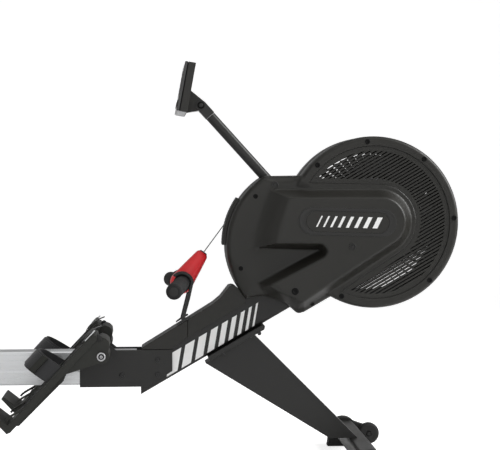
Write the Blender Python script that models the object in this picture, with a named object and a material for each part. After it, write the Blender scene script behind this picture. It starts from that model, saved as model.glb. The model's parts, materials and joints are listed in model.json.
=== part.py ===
"""Rowing machine with a fan flywheel: a fixed frame, and a seat, pedals, handle, console, fan and wheels that move.

Metres, +Z up, +X from the seat towards the fan, left is +Y. The origin lies on the floor under the middle.
Run in Blender's text editor, or with blender --background --python part.py.
"""

import math

import bmesh
import bpy
from mathutils import Matrix, Vector

# Driving dimensions
GAP = 0.0004
BEAM_ANGLE = math.radians(30)
BEAM_POINT = (0.644, 0.401)
BEAM_SIZE = (0.064, 0.088)
BEAM_LOW_X = 0.345
BEAM_HIGH_X = 0.755
BEAM_WALL = 0.003
RAIL_BACK_X = -1.075
RAIL_FRONT_X = 0.335
RAIL_WIDTH = 0.060
RAIL_TOP = 0.283
RAIL_BOTTOM = 0.203
RAIL_GROOVE = (0.235, 0.251, 0.008)
BACK_X = -1.105
FAN_CENTRE = (0.900, 0.591)
FAN_CASE_RADIUS = 0.205
FAN_RADIUS = 0.163
FAN_HALF_WIDTH = 0.030
LOBE_CENTRE = (0.744, 0.536)
LOBE_RADIUS = 0.195
COVER_DEPTH = 0.078
COVER_WALL = 0.003
ISLAND_DEPTH = 0.113
NOSE_CENTRE = (0.9125, 0.593)
SPOOL_CENTRE = (0.665, 0.548)
SPOOL_RADIUS = 0.030
DRIVE_PULLEY_RADIUS = 0.055
FAN_PULLEY_RADIUS = 0.018
AXLE_RADIUS = 0.008
MAST_LOW = (0.663, 0.680)
MAST_HIGH = (0.490, 0.871)
MAST_RADIUS = 0.0125
CONSOLE_WIDTH = 0.216
CONSOLE_HEIGHT = 0.117
CONSOLE_DEPTH = 0.0256
CONSOLE_LEAN = math.radians(10.35)
CONSOLE_CORNER = (0.429, 0.854)
HANDLE_CENTRE = (0.443, 0.445)
HANDLE_END = (0.420, 0.225, 0.4385)
HANDLE_NOSE = (0.497, 0.518)
STRAP_ANGLE = math.radians(53)
GRIP_RADIUS = 0.0185
HOOK_Y = 0.040
PEDAL_PIVOT = (0.256, 0.290)
PEDAL_ANGLE = math.radians(46.8)
PEDAL_TOP = (0.2394, 0.3419)
PEDAL_LENGTH = 0.297
PEDAL_INNER_Y = 0.068
PEDAL_OUTER_Y = 0.190
PEDAL_THICKNESS = 0.015
SEAT_X = -0.45
SEAT_ROLLER_RADIUS = 0.020
SEAT_ROLLER_PITCH = 0.080
FRONT_X = 0.870
REAR_LEG_X = -0.980
STABILIZER_Z = 0.047
FRONT_HALF_WIDTH = 0.255
REAR_HALF_WIDTH = 0.200
FOOT_THICKNESS = 0.030
WHEEL_CENTRE = (0.932, 0.036)
WHEEL_RADIUS = 0.028
SEGMENTS = 24


def clear_scene():
    for obj in list(bpy.data.objects):
        bpy.data.objects.remove(obj)


def make_material(name, colour, roughness, metallic=0.0):
    material = bpy.data.materials.new(name)
    material.use_nodes = True
    shader = material.node_tree.nodes["Principled BSDF"]
    shader.inputs["Base Color"].default_value = (*colour, 1.0)
    shader.inputs["Roughness"].default_value = roughness
    shader.inputs["Metallic"].default_value = metallic
    return material


def make_materials():
    return {
        "painted": make_material("painted_steel", (0.020, 0.020, 0.019), 0.45),
        "alloy": make_material("rail_aluminium", (0.70, 0.71, 0.72), 0.35, 1.0),
        "plastic": make_material("black_plastic", (0.026, 0.025, 0.023), 0.5),
        "gloss": make_material("gloss_plastic", (0.012, 0.012, 0.013), 0.2),
        "red": make_material("red_plastic", (0.60, 0.015, 0.025), 0.35),
        "rubber": make_material("black_rubber", (0.018, 0.018, 0.018), 0.8),
        "foam": make_material("grip_foam", (0.016, 0.016, 0.016), 0.9),
        "webbing": make_material("nylon_webbing", (0.08, 0.08, 0.08), 0.85),
        "steel": make_material("zinc_steel", (0.55, 0.55, 0.56), 0.3, 1.0),
        "iron": make_material("flywheel_iron", (0.30, 0.30, 0.31), 0.45, 1.0),
        "vinyl": make_material("seat_vinyl", (0.020, 0.020, 0.021), 0.6),
        "screen": make_material("display_glass", (0.03, 0.035, 0.04), 0.1),
    }


def finish(name, bm, material, helper=False):
    """Turns the bmesh into an object whose faces point out."""
    bmesh.ops.recalc_face_normals(bm, faces=bm.faces)
    mesh = bpy.data.meshes.new(name)
    bm.to_mesh(mesh)
    bm.free()
    mesh.shade_smooth()
    mesh.set_sharp_from_angle(angle=math.radians(35))
    obj = bpy.data.objects.new(name, mesh)
    bpy.context.scene.collection.objects.link(obj)
    if helper:
        obj.hide_render = True
        obj.display_type = "WIRE"
    else:
        mesh.materials.append(material)
    return obj


def along_x(y, z, x):
    """A section's (y, z) point carried along X."""
    return x, y, z


def along_y(x, z, y):
    """A section's (x, z) point carried along Y."""
    return x, y, z


def along_z(x, y, z):
    """A section's (x, y) point carried along Z."""
    return x, y, z


def sweep(name, outline, place, start, end, material, helper=False, hole=None):
    """A closed outline carried straight from start to end. place(a, b, s) gives the world point."""
    bm = bmesh.new()
    loops = []
    for points in [outline] + ([hole] if hole else []):
        for s in (start, end):
            loops.append([bm.verts.new(place(a, b, s)) for a, b in points])
    for low, high in zip(loops[0::2], loops[1::2]):
        for i, vert in enumerate(low):
            after = (i + 1) % len(low)
            bm.faces.new((vert, low[after], high[after], high[i]))
    if hole:
        for outer, inner in ((loops[0], loops[2]), (loops[1], loops[3])):
            for i, vert in enumerate(outer):
                after = (i + 1) % len(outer)
                bm.faces.new((vert, outer[after], inner[after], inner[i]))
    else:
        bm.faces.new(loops[0])
        bm.faces.new(loops[1])
    return finish(name, bm, material, helper)


def prism(name, outline, low_y, high_y, material, helper=False):
    """An outline of (x, z) points carried across the machine."""
    return sweep(name, outline, along_y, low_y, high_y, material, helper)


def box(name, low, high, material, helper=False):
    outline = [(low[0], low[2]), (high[0], low[2]), (high[0], high[2]), (low[0], high[2])]
    return prism(name, outline, low[1], high[1], material, helper)


def turned(name, profile, centre, material, closed=False, segments=SEGMENTS, helper=False):
    """A profile of (radius, y) points turned about a cross axis through centre."""
    bm = bmesh.new()
    verts = [bm.verts.new((centre[0] + r, y, centre[1])) for r, y in profile]
    edges = [bm.edges.new(pair) for pair in zip(verts, verts[1:])]
    if closed:
        edges.append(bm.edges.new((verts[-1], verts[0])))
    bmesh.ops.spin(
        bm,
        geom=verts + edges,
        cent=(centre[0], 0, centre[1]),
        axis=(0, 1, 0),
        angle=2 * math.pi,
        steps=segments,
        use_merge=True,
    )
    bmesh.ops.remove_doubles(bm, verts=bm.verts, dist=1e-6)
    return finish(name, bm, material, helper)


def rod(name, radius, low_y, high_y, centre, material, helper=False, segments=SEGMENTS):
    profile = [(0, low_y), (radius, low_y), (radius, high_y), (0, high_y)]
    return turned(name, profile, centre, material, segments=segments, helper=helper)


def combine(obj, operation, other):
    modifier = obj.modifiers.new(operation.lower() + "_" + other.name, "BOOLEAN")
    modifier.operation = operation
    modifier.solver = "EXACT"
    modifier.object = other
    return obj


def cut(obj, *cutters):
    for cutter in cutters:
        combine(obj, "DIFFERENCE", cutter)
    return obj


def add(obj, *others):
    for other in others:
        combine(obj, "UNION", other)
    return obj


def join_shapes(name, shapes):
    """Several separate closed shapes kept as one helper mesh, to cut or to add in one go."""
    bm = bmesh.new()
    for shape in shapes:
        bm.from_mesh(shape.data)
        bpy.data.objects.remove(shape)
    return finish(name, bm, None, helper=True)


def set_axis(obj, point):
    """Puts the object's origin on its joint's axis without moving its shape."""
    offset = Vector(point)
    obj.data.transform(Matrix.Translation(-offset))
    obj.location = offset
    return obj


def arc(centre, radius, start, end, steps):
    """Points on a circle from one angle to another, in degrees."""
    points = []
    for i in range(steps + 1):
        angle = math.radians(start + (end - start) * i / steps)
        points.append((centre[0] + radius * math.cos(angle), centre[1] + radius * math.sin(angle)))
    return points


def rounded(width, height, radius, steps=4, centre=(0.0, 0.0)):
    """A rectangle with round corners about centre."""
    points = []
    for quarter, (sx, sz) in enumerate(((1, 1), (-1, 1), (-1, -1), (1, -1))):
        corner = (centre[0] + sx * (width / 2 - radius), centre[1] + sz * (height / 2 - radius))
        points += arc(corner, radius, 90 * quarter, 90 * quarter + 90, steps)
    return points


def moved(outline, distance):
    """The outline with every side moved in by distance, or out where distance is negative."""
    points = [Vector(p) for p in outline]
    area = sum(a.x * b.y - b.x * a.y for a, b in zip(points, points[1:] + points[:1]))
    turn = 1 if area > 0 else -1
    result = []
    for i, point in enumerate(points):
        before = (point - points[i - 1]).normalized()
        after = (points[(i + 1) % len(points)] - point).normalized()
        first = Vector((-before.y, before.x)) * turn
        second = Vector((-after.y, after.x)) * turn
        middle = (first + second).normalized()
        result.append(tuple(point + middle * distance / max(0.4, middle.dot(first))))
    return result


def along_beam(distance, lift=0.0):
    """The (x, z) of a point that far up the beam from its reference point, and lifted off its centre line."""
    x = BEAM_POINT[0] + distance * math.cos(BEAM_ANGLE) - lift * math.sin(BEAM_ANGLE)
    z = BEAM_POINT[1] + distance * math.sin(BEAM_ANGLE) + lift * math.cos(BEAM_ANGLE)
    return x, z


def beam_run(x, lift):
    """The distance along the beam at which a line lifted off its centre reaches x."""
    return (x - BEAM_POINT[0] + lift * math.sin(BEAM_ANGLE)) / math.cos(BEAM_ANGLE)


def make_beam(mats):
    """A rounded box tube whose low end is cut upright where it meets the rail."""

    def place(y, lift, end):
        distance = beam_run(BEAM_LOW_X, lift) if end == 0 else beam_run(BEAM_HIGH_X, 0)
        x, z = along_beam(distance, lift)
        return x, y, z

    outer = rounded(BEAM_SIZE[0], BEAM_SIZE[1], 0.012)
    inner = rounded(BEAM_SIZE[0] - 2 * BEAM_WALL, BEAM_SIZE[1] - 2 * BEAM_WALL, 0.009)
    sweep("main_beam", outer, place, 0, 1, mats["painted"], hole=inner)


def make_rail(mats):
    groove_low, groove_high, groove_depth = RAIL_GROOVE
    half = RAIL_WIDTH / 2
    side = [
        (half - 0.003, RAIL_BOTTOM),
        (half, RAIL_BOTTOM + 0.003),
        (half, groove_low),
        (half - groove_depth, groove_low),
        (half - groove_depth, groove_high),
        (half, groove_high),
        (half, RAIL_TOP - 0.003),
        (half - 0.003, RAIL_TOP),
    ]
    outline = side + [(-y, z) for y, z in reversed(side)]
    hole = moved(outline, 0.0028)
    sweep("rail", outline, along_x, RAIL_BACK_X, RAIL_FRONT_X, mats["alloy"], hole=hole)
    middle = (RAIL_TOP + RAIL_BOTTOM) / 2
    cap = rounded(0.066, 0.088, 0.012, centre=(0, middle))
    end_cap = sweep("rail_end_cap", cap, along_x, BACK_X, RAIL_BACK_X - GAP, mats["plastic"])
    stop = rounded(0.050, 0.026, 0.004, centre=(0, RAIL_TOP + GAP + 0.013))
    add(end_cap, sweep("rail_stop", stop, along_x, BACK_X + 0.004, RAIL_BACK_X + 0.025, None, helper=True))


def make_receiver(mats):
    """The channel that holds the rail's front end and the beam's low end, with cheeks up to the pedal axle."""
    back_x, front_x = 0.200, 0.420
    inner, outer = 0.0330, 0.0370
    floor = (RAIL_BOTTOM - 0.005, RAIL_BOTTOM - GAP)
    cheek = [
        (back_x, floor[0]),
        (front_x - 0.06, floor[0]),
        (front_x, 0.235),
        (front_x, RAIL_TOP + 0.003),
        (PEDAL_PIVOT[0] + 0.030, RAIL_TOP + 0.003),
    ]
    cheek += arc(PEDAL_PIVOT, 0.016, 40, 140, 8)
    cheek += [(back_x + 0.010, RAIL_TOP - 0.010), (back_x, RAIL_TOP - 0.020)]
    receiver = prism("rail_receiver", cheek, -outer, outer, mats["painted"])
    above = prism("receiver_inside", moved(cheek, -0.02), -inner, inner, None, helper=True)
    floor_plate = box(
        "receiver_floor",
        (back_x, -inner - 0.001, floor[0]),
        (0.335, inner + 0.001, floor[1]),
        None,
        helper=True,
    )
    hole = rod("receiver_axle_hole", 0.0065, -0.05, 0.05, PEDAL_PIVOT, None, helper=True)
    cut(receiver, above)
    add(receiver, floor_plate)
    cut(receiver, hole)


def make_rear(mats):
    """The rear leg under the rail's back end, its cross tube and the two feet."""
    top = RAIL_BOTTOM - GAP
    tube_top = STABILIZER_Z + 0.0204
    leg = [
        (REAR_LEG_X - 0.070, top),
        (REAR_LEG_X - 0.070, top - 0.006),
        (REAR_LEG_X - 0.034, top - 0.030),
        (REAR_LEG_X - 0.030, tube_top),
        (REAR_LEG_X + 0.030, tube_top),
        (REAR_LEG_X + 0.034, top - 0.030),
        (REAR_LEG_X + 0.070, top - 0.006),
        (REAR_LEG_X + 0.070, top),
    ]
    prism("rear_leg", leg, -0.024, 0.024, mats["painted"])
    make_cross_tube("rear_stabilizer", REAR_LEG_X, REAR_HALF_WIDTH - FOOT_THICKNESS - GAP, mats)
    outline = [(REAR_LEG_X - 0.040, 0.0), (REAR_LEG_X + 0.040, 0.0)]
    outline += arc((REAR_LEG_X, 0.038), 0.036, 10, 170, 12)
    for name, side in (("rear_foot_left", 1), ("rear_foot_right", -1)):
        ends = sorted((side * (REAR_HALF_WIDTH - FOOT_THICKNESS), side * REAR_HALF_WIDTH))
        prism(name, outline, ends[0], ends[1], mats["rubber"])


def make_cross_tube(name, x, half, mats):
    outer = rounded(0.050, 0.040, 0.010, centre=(x, STABILIZER_Z))
    inner = rounded(0.044, 0.034, 0.007, centre=(x, STABILIZER_Z))
    sweep(name, outer, along_y, -half, half, mats["painted"], hole=inner)


def make_front(mats):
    """The flange under the beam, the front leg, its cross tube, its feet and the transport wheels."""
    under = -BEAM_SIZE[1] / 2
    low, high = beam_run(0.504, under), beam_run(0.634, under)
    flange = [along_beam(low, under - GAP), along_beam(high, under - GAP)]
    flange += [along_beam(high + 0.006, under - 0.006), along_beam(high, under - 0.0125)]
    flange += [along_beam(low, under - 0.0125)]
    prism("leg_flange", flange, -0.045, 0.045, mats["painted"])
    leg_lift = under - 0.0125 - GAP
    leg = [
        along_beam(beam_run(0.500, leg_lift), leg_lift),
        along_beam(beam_run(0.617, leg_lift), leg_lift),
        (FRONT_X - 0.002, STABILIZER_Z + 0.0204),
        (FRONT_X - 0.070, STABILIZER_Z + 0.0204),
    ]
    prism("front_leg", leg, -0.030, 0.030, mats["painted"])
    make_cross_tube("front_stabilizer", FRONT_X, FRONT_HALF_WIDTH - FOOT_THICKNESS - GAP, mats)
    outline = [(FRONT_X - 0.042, 0.0), (FRONT_X + 0.030, 0.0)]
    outline += arc(WHEEL_CENTRE, 0.014, -60, 70, 8)
    outline += arc((FRONT_X, 0.040), 0.036, 40, 170, 10)
    for name, side in (("left", 1), ("right", -1)):
        inner = side * (FRONT_HALF_WIDTH - FOOT_THICKNESS)
        ends = sorted((inner, side * FRONT_HALF_WIDTH))
        foot = prism("front_foot_" + name, outline, ends[0], ends[1], mats["rubber"])
        pin_ends = sorted((inner - side * 0.028, inner + side * 0.004))
        pin = rod("wheel_pin_" + name, 0.005, pin_ends[0], pin_ends[1], WHEEL_CENTRE, None, helper=True)
        add(foot, pin)
        make_wheel("transport_wheel_" + name, inner - side * 0.002, -side, mats)


def make_wheel(name, start_y, way, mats):
    """A solid roller with a bore, rounded at its tread."""
    width = 0.022
    profile = [(0.0055, 0.0), (0.024, 0.0), (WHEEL_RADIUS, 0.005), (WHEEL_RADIUS, width - 0.005)]
    profile += [(0.024, width), (0.0055, width)]
    profile = [(r, start_y + way * y) for r, y in profile]
    wheel = turned(name, profile, WHEEL_CENTRE, mats["rubber"], closed=True, segments=20)
    set_axis(wheel, (WHEEL_CENTRE[0], start_y + way * width / 2, WHEEL_CENTRE[1]))


def case_outline():
    """The side outline of the fan case: the fan's circle and the spool's lobe, joined at the top and over the beam."""
    points = arc(FAN_CENTRE, FAN_CASE_RADIUS, 147, -120, 44)
    points += [(0.733, 0.3765)]
    points += arc((0.722, 0.388), 0.014, -60, -135, 4)
    points += [(0.690, 0.3990), (0.659, 0.4090), (0.6375, 0.4160), (0.605, 0.4110)]
    points += arc(LOBE_CENTRE, LOBE_RADIUS, 221, 122, 16)
    return points


def grille_outline():
    """The crescent between the case's rim and the island's nose."""
    points = arc(FAN_CENTRE, 0.182, 149, -116, 40)
    points += arc(NOSE_CENTRE, 0.088, -60, 90, 14)
    return points


def island_outline():
    """The raised panel of a cover, with a wedge-shaped recess open to the back."""
    points = arc(NOSE_CENTRE, 0.076, -59, 90, 12)
    points += [(0.720, 0.669), (0.672, 0.640), (0.640, 0.590), (0.632, 0.540)]
    points += [(0.785, 0.538), (0.787, 0.5205), (0.650, 0.447), (0.700, 0.412), (0.765, 0.408)]
    return points


def make_covers(mats):
    """Two half shells that meet on the middle plane, each with a raised panel and a crescent opening for its grille."""
    outline = case_outline()
    inside = moved(outline, COVER_WALL)
    beam_size = (BEAM_SIZE[0] + 0.001, BEAM_SIZE[1] + 0.001)

    def along(y, lift, distance):
        x, z = along_beam(distance, lift)
        return x, y, z

    beam_cut = sweep("beam_clearance", rounded(*beam_size, 0.012), along, -0.2, 0.1, None, helper=True)
    for side_name, side in (("left", 1), ("right", -1)):
        face = side * COVER_DEPTH
        rim = side * GAP / 2
        cover = prism("cover_" + side_name, outline, min(rim, face), max(rim, face), mats["plastic"])
        inner = sorted((-side * 0.01, side * (COVER_DEPTH - COVER_WALL)))
        hollow = prism("cover_hollow_" + side_name, inside, inner[0], inner[1], None, helper=True)
        raised = sorted((side * (COVER_DEPTH - 0.001), side * ISLAND_DEPTH))
        island = prism("island_" + side_name, island_outline(), raised[0], raised[1], None, helper=True)
        sunk = sorted((side * (COVER_DEPTH - 0.010), side * (ISLAND_DEPTH - COVER_WALL)))
        island_hollow = prism(
            "island_hollow_" + side_name, moved(island_outline(), 0.004), sunk[0], sunk[1], None, helper=True
        )
        low, high = sorted((side * 0.06, side * 0.09))
        window = prism("grille_window_" + side_name, grille_outline(), low, high, None, helper=True)
        add(cover, island)
        cut(cover, hollow, island_hollow, window, beam_cut)
        cut(cover, mast_clearance(side_name), slot_clearance(side_name))
        make_grille(side_name, side, mats)


def mast_frame():
    """Unit vectors up the mast and across it, in the side plane."""
    up = (Vector(MAST_HIGH) - Vector(MAST_LOW)).normalized()
    return up, Vector((-up.y, up.x))


def mast_place(origin):
    """Places a round section of the mast, by distance from origin."""
    up, across = mast_frame()

    def place(a, b, distance):
        point = Vector(origin) + up * distance + across * a
        return point.x, b, point.y

    return place


def mast_clearance(suffix):
    ring = arc((0, 0), MAST_RADIUS + 0.0008, 0, 337.5, 15)
    return sweep("mast_clearance_" + suffix, ring, mast_place(MAST_LOW), -0.03, 0.10, None, helper=True)


def strap_point(distance):
    """The (x, z) of a point that far up the strap from the handle's nose."""
    return (
        HANDLE_NOSE[0] + distance * math.cos(STRAP_ANGLE),
        HANDLE_NOSE[1] + distance * math.sin(STRAP_ANGLE),
    )


def strap_place(a, b, distance):
    """a goes across the machine, b off the strap's face."""
    x, z = strap_point(distance)
    return x - b * math.sin(STRAP_ANGLE), a, z + b * math.cos(STRAP_ANGLE)


def slot_clearance(suffix):
    outline = rounded(0.026, 0.008, 0.002)
    return sweep("strap_slot_" + suffix, outline, strap_place, 0.03, 0.16, None, helper=True)


def make_grille(side_name, side, mats):
    """A crescent plate cut by slanted slots."""
    outline = moved(grille_outline(), 0.0008)
    ends = sorted((side * 0.0715, side * 0.0765))
    grille = prism("grille_" + side_name, outline, ends[0], ends[1], mats["plastic"])
    zone = prism(
        "slot_zone_" + side_name, moved(grille_outline(), 0.012), side * 0.05, side * 0.10, None, helper=True
    )
    slant = math.radians(30)
    bars = []
    for i in range(23):
        height = FAN_CENTRE[1] - 0.19 + 0.0165 * i
        ends_x = (FAN_CENTRE[0] - 0.19, FAN_CENTRE[0] + 0.19)
        low = [(x, height + (x - FAN_CENTRE[0]) * math.tan(slant)) for x in ends_x]
        high = [(x, z + 0.0075) for x, z in reversed(low)]
        bars.append(prism("bar", low + high, side * 0.06, side * 0.09, None))
    slots = join_shapes("slots_" + side_name, bars)
    combine(slots, "INTERSECT", zone)
    cut(grille, slots)


def make_slot_bezel(mats):
    """A plate on the case's back edge that guides the strap in."""
    outer = arc(LOBE_CENTRE, LOBE_RADIUS + 0.009, 180, 146, 6)
    inner = arc(LOBE_CENTRE, LOBE_RADIUS + GAP, 146, 180, 6)
    bezel = prism("strap_bezel", outer + inner, -0.030, 0.030, mats["plastic"])
    cut(bezel, slot_clearance("bezel"))


def make_drive(mats):
    """Side plates, axles, fan, flywheel, pulleys, belt and the strap's spool inside the case."""
    plate = [(0.632, 0.424), (0.664, 0.417), (0.702, 0.406), (0.748, 0.425)]
    plate += arc(FAN_CENTRE, 0.024, -60, 95, 10)
    plate += [(0.745, 0.600)]
    plate += arc(MAST_LOW, 0.016, 40, 170, 8)
    plate += [(0.622, 0.560), (0.612, 0.430)]
    for side_name, side in (("left", 1), ("right", -1)):
        ends = sorted((side * (BEAM_SIZE[0] / 2 + GAP), side * 0.0360))
        side_plate = prism("side_plate_" + side_name, plate, ends[0], ends[1], mats["painted"])
        for hole_name, centre, radius in (
            ("fan", FAN_CENTRE, AXLE_RADIUS),
            ("spool", SPOOL_CENTRE, AXLE_RADIUS),
            ("mast", MAST_LOW, 0.005),
        ):
            hole_id = f"plate_hole_{hole_name}_{side_name}"
            cut(side_plate, rod(hole_id, radius + 0.0003, -0.05, 0.05, centre, None, helper=True))
    rod("fan_axle", AXLE_RADIUS, -0.066, 0.066, FAN_CENTRE, mats["steel"])
    rod("spool_axle", AXLE_RADIUS, -0.044, 0.066, SPOOL_CENTRE, mats["steel"])
    make_fan(mats)
    bore = AXLE_RADIUS + 0.0003
    flywheel = [(bore, -0.062), (0.020, -0.062), (0.020, -0.056), (0.098, -0.056), (0.098, -0.060)]
    flywheel += [(0.106, -0.060), (0.106, -0.044), (0.098, -0.044), (0.098, -0.048), (0.020, -0.048)]
    flywheel += [(0.020, -0.038), (bore, -0.038)]
    wheel = turned("flywheel", flywheel, FAN_CENTRE, mats["iron"], closed=True, segments=32)
    set_axis(wheel, (FAN_CENTRE[0], -0.053, FAN_CENTRE[1]))
    make_pulley("fan_pulley", FAN_CENTRE, FAN_PULLEY_RADIUS, 0.016, mats)
    make_pulley("drive_pulley", SPOOL_CENTRE, DRIVE_PULLEY_RADIUS, 0.012, mats)
    make_belt(mats)
    spool = [(bore, -0.020), (0.048, -0.020), (0.048, -0.0165), (SPOOL_RADIUS, -0.0165)]
    spool += [(SPOOL_RADIUS, 0.0165), (0.048, 0.0165), (0.048, 0.020), (bore, 0.020)]
    drum = turned("strap_spool", spool, SPOOL_CENTRE, mats["plastic"], closed=True)
    set_axis(drum, (SPOOL_CENTRE[0], 0, SPOOL_CENTRE[1]))


def make_pulley(name, centre, radius, hub, mats):
    bore = AXLE_RADIUS + 0.0003
    profile = [(bore, 0.038), (hub, 0.038), (hub, 0.0455), (radius + 0.003, 0.0455), (radius + 0.003, 0.047)]
    profile += [(radius, 0.047), (radius, 0.059), (radius + 0.003, 0.059), (radius + 0.003, 0.0605)]
    profile += [(bore, 0.0605)]
    pulley = turned(name, profile, centre, mats["steel"], closed=True)
    set_axis(pulley, (centre[0], 0.053, centre[1]))


def make_belt(mats):
    """A flat belt round the two pulleys: two arcs joined by their common tangents."""
    low, high = Vector(SPOOL_CENTRE), Vector(FAN_CENTRE)
    heading = math.degrees(math.atan2(high.y - low.y, high.x - low.x))
    open_angle = math.degrees(math.acos((DRIVE_PULLEY_RADIUS - FAN_PULLEY_RADIUS) / (high - low).length))

    def loop(extra):
        points = arc(low, DRIVE_PULLEY_RADIUS + extra, heading + open_angle, heading + 360 - open_angle, 24)
        points += arc(high, FAN_PULLEY_RADIUS + extra, heading - open_angle, heading + open_angle, 12)
        return points

    sweep("drive_belt", loop(0.0028), along_y, 0.0475, 0.0585, mats["rubber"], hole=loop(GAP))


def make_fan(mats):
    """A hub and a thin disc with radial blades on both faces."""
    bore = AXLE_RADIUS + 0.0003
    half = FAN_HALF_WIDTH
    disc_radius = 0.115
    profile = [(bore, -half), (0.030, -half), (0.030, -0.002), (disc_radius, -0.002), (disc_radius, 0.002)]
    profile += [(0.030, 0.002), (0.030, half), (bore, half)]
    fan = turned("fan_wheel", profile, FAN_CENTRE, mats["plastic"], closed=True, segments=30)
    blades = []
    count = 20
    for i in range(count):
        angle = 2 * math.pi * i / count
        radial = Vector((math.cos(angle), math.sin(angle)))
        across = Vector((-radial.y, radial.x)) * 0.0012
        inner = Vector(FAN_CENTRE) + radial * 0.080
        outer = Vector(FAN_CENTRE) + radial * FAN_RADIUS
        outline = [tuple(p) for p in (inner - across, outer - across, outer + across, inner + across)]
        blades.append(prism("blade", outline, -half, half, None))
    add(fan, join_shapes("fan_blades", blades))
    set_axis(fan, (FAN_CENTRE[0], 0, FAN_CENTRE[1]))


def make_mast(mats):
    """The tube from the case up to the console, its fork and its cross bolt."""
    up, _ = mast_frame()
    length = (Vector(MAST_HIGH) - Vector(MAST_LOW)).length
    outer = arc((0, 0), MAST_RADIUS, 0, 345, 23)
    inner = arc((0, 0), MAST_RADIUS - 0.002, 0, 345, 23)
    top = length - 0.034
    mast = sweep("mast", outer, mast_place(MAST_LOW), -0.012, top, mats["painted"], hole=inner)
    cut(mast, rod("mast_bolt_hole", 0.0053, -0.03, 0.03, MAST_LOW, None, helper=True))
    rod("mast_bolt", 0.005, -0.040, 0.040, MAST_LOW, mats["steel"])
    low = Vector(MAST_HIGH) - up * (0.034 - GAP)
    across = Vector((-up.y, up.x)) * 0.0125
    heading = math.degrees(math.atan2(up.y, up.x))
    outline = arc(MAST_HIGH, 0.0125, heading - 90, heading + 90, 10)
    outline += [tuple(low + across), tuple(low - across)]
    fork = prism("mast_fork", outline, -0.0165, 0.0165, mats["painted"])
    slot = rod("fork_slot", 0.0165, -0.0120, 0.0120, MAST_HIGH, None, helper=True)
    hole = rod("fork_hole", 0.0043, -0.03, 0.03, MAST_HIGH, None, helper=True)
    cut(fork, slot, hole)
    rod("console_bolt", 0.004, -0.0195, 0.0195, MAST_HIGH, mats["steel"])


def console_point(depth, rise):
    """The (x, z) of a point behind the console's front face, at a height up that face."""
    lean_x, lean_z = math.sin(CONSOLE_LEAN), math.cos(CONSOLE_LEAN)
    return (
        CONSOLE_CORNER[0] + rise * lean_x + depth * lean_z,
        CONSOLE_CORNER[1] + rise * lean_z - depth * lean_x,
    )


def console_box(name, depths, half_width, rises, mats, material, centre_y=0.0, helper=False):
    outline = [
        console_point(depths[0], rises[0]),
        console_point(depths[1], rises[0]),
        console_point(depths[1], rises[1]),
        console_point(depths[0], rises[1]),
    ]
    chosen = mats[material] if material else None
    return prism(name, outline, centre_y - half_width, centre_y + half_width, chosen, helper)


def make_console(mats):
    """A shallow tray with a lug, its front plate, a display and two push buttons."""
    half = CONSOLE_WIDTH / 2
    split = 0.008
    depths = (split + GAP, CONSOLE_DEPTH)
    shell = console_box("console_shell", depths, half, (0, CONSOLE_HEIGHT), mats, "plastic")
    tray = console_box(
        "console_tray",
        (0, CONSOLE_DEPTH - 0.003),
        half - 0.003,
        (0.003, CONSOLE_HEIGHT - 0.003),
        mats,
        None,
        helper=True,
    )
    lug_outline = [console_point(CONSOLE_DEPTH - 0.002, 0.060), console_point(CONSOLE_DEPTH - 0.002, 0.003)]
    lug_outline += arc(MAST_HIGH, 0.0125, -100, 50, 10)
    lug = prism("console_lug", lug_outline, -0.0115, 0.0115, None, helper=True)
    hole = rod("lug_hole", 0.0043, -0.03, 0.03, MAST_HIGH, None, helper=True)
    cut(shell, tray)
    add(shell, lug)
    cut(shell, hole)
    bezel = console_box("console_bezel", (0, split), half, (0, CONSOLE_HEIGHT), mats, "gloss")
    window = console_box("console_window", (-0.01, 0.02), 0.078, (0.042, 0.106), mats, None, helper=True)
    cut(bezel, window)
    console_box("console_screen", (0.0015, split), 0.0775, (0.0425, 0.1055), mats, "screen")
    for name, y in (("button_left", 0.045), ("button_right", -0.045)):
        well = console_box(name + "_well", (-0.01, 0.02), 0.0175, (0.012, 0.028), mats, None, y, helper=True)
        cut(bezel, well)
        button = console_box(name, (-0.0015, 0.0075), 0.017, (0.0125, 0.0275), mats, "rubber", y)
        x, z = console_point(0, 0.020)
        set_axis(button, (x, y, z))


def make_handle(mats):
    """Bar, grips, red core and the strap, which all leave the hooks together."""
    sweep_back = Vector(HANDLE_END) - Vector((HANDLE_CENTRE[0], 0.045, HANDLE_CENTRE[1]))
    heading = sweep_back.normalized()
    bar_radius = 0.010

    def bar_point(y):
        if abs(y) <= 0.045:
            return Vector((HANDLE_CENTRE[0], y, HANDLE_CENTRE[1]))
        point = Vector((HANDLE_CENTRE[0], 0.045, HANDLE_CENTRE[1])) + heading * ((abs(y) - 0.045) / heading.y)
        return Vector((point.x, math.copysign(point.y, y), point.z))

    bar_path = [bar_point(y) for y in (-0.218, -0.045, 0.045, 0.218)]
    make_tube_along("handle_bar", bar_path, bar_radius, None, mats["steel"])
    for name, side in (("grip_left", 1), ("grip_right", -1)):
        path = [bar_point(side * y) for y in (0.0325, 0.045, 0.225)]
        make_tube_along(name, path, GRIP_RADIUS, bar_radius + GAP, mats["foam"])
    core = arc(HANDLE_CENTRE, 0.0275, 53 + 90, 53 + 270, 12)
    up = Vector((math.cos(STRAP_ANGLE), math.sin(STRAP_ANGLE)))
    across = Vector((-up.y, up.x))
    nose = Vector(HANDLE_NOSE)
    core += [tuple(nose - up * 0.030 - across * 0.021), tuple(nose - across * 0.011)]
    core += [tuple(nose + across * 0.011), tuple(nose - up * 0.030 + across * 0.021)]
    body = prism("handle_core", core, -0.0320, 0.0320, mats["red"])
    bore = rod("core_bore", bar_radius + GAP, -0.05, 0.05, HANDLE_CENTRE, None, helper=True)
    cut(body, bore)
    strap = sweep("pull_strap", rounded(0.020, 0.0016, 0.0004, 2), strap_place, GAP, 0.188, mats["webbing"])
    return strap


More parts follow.
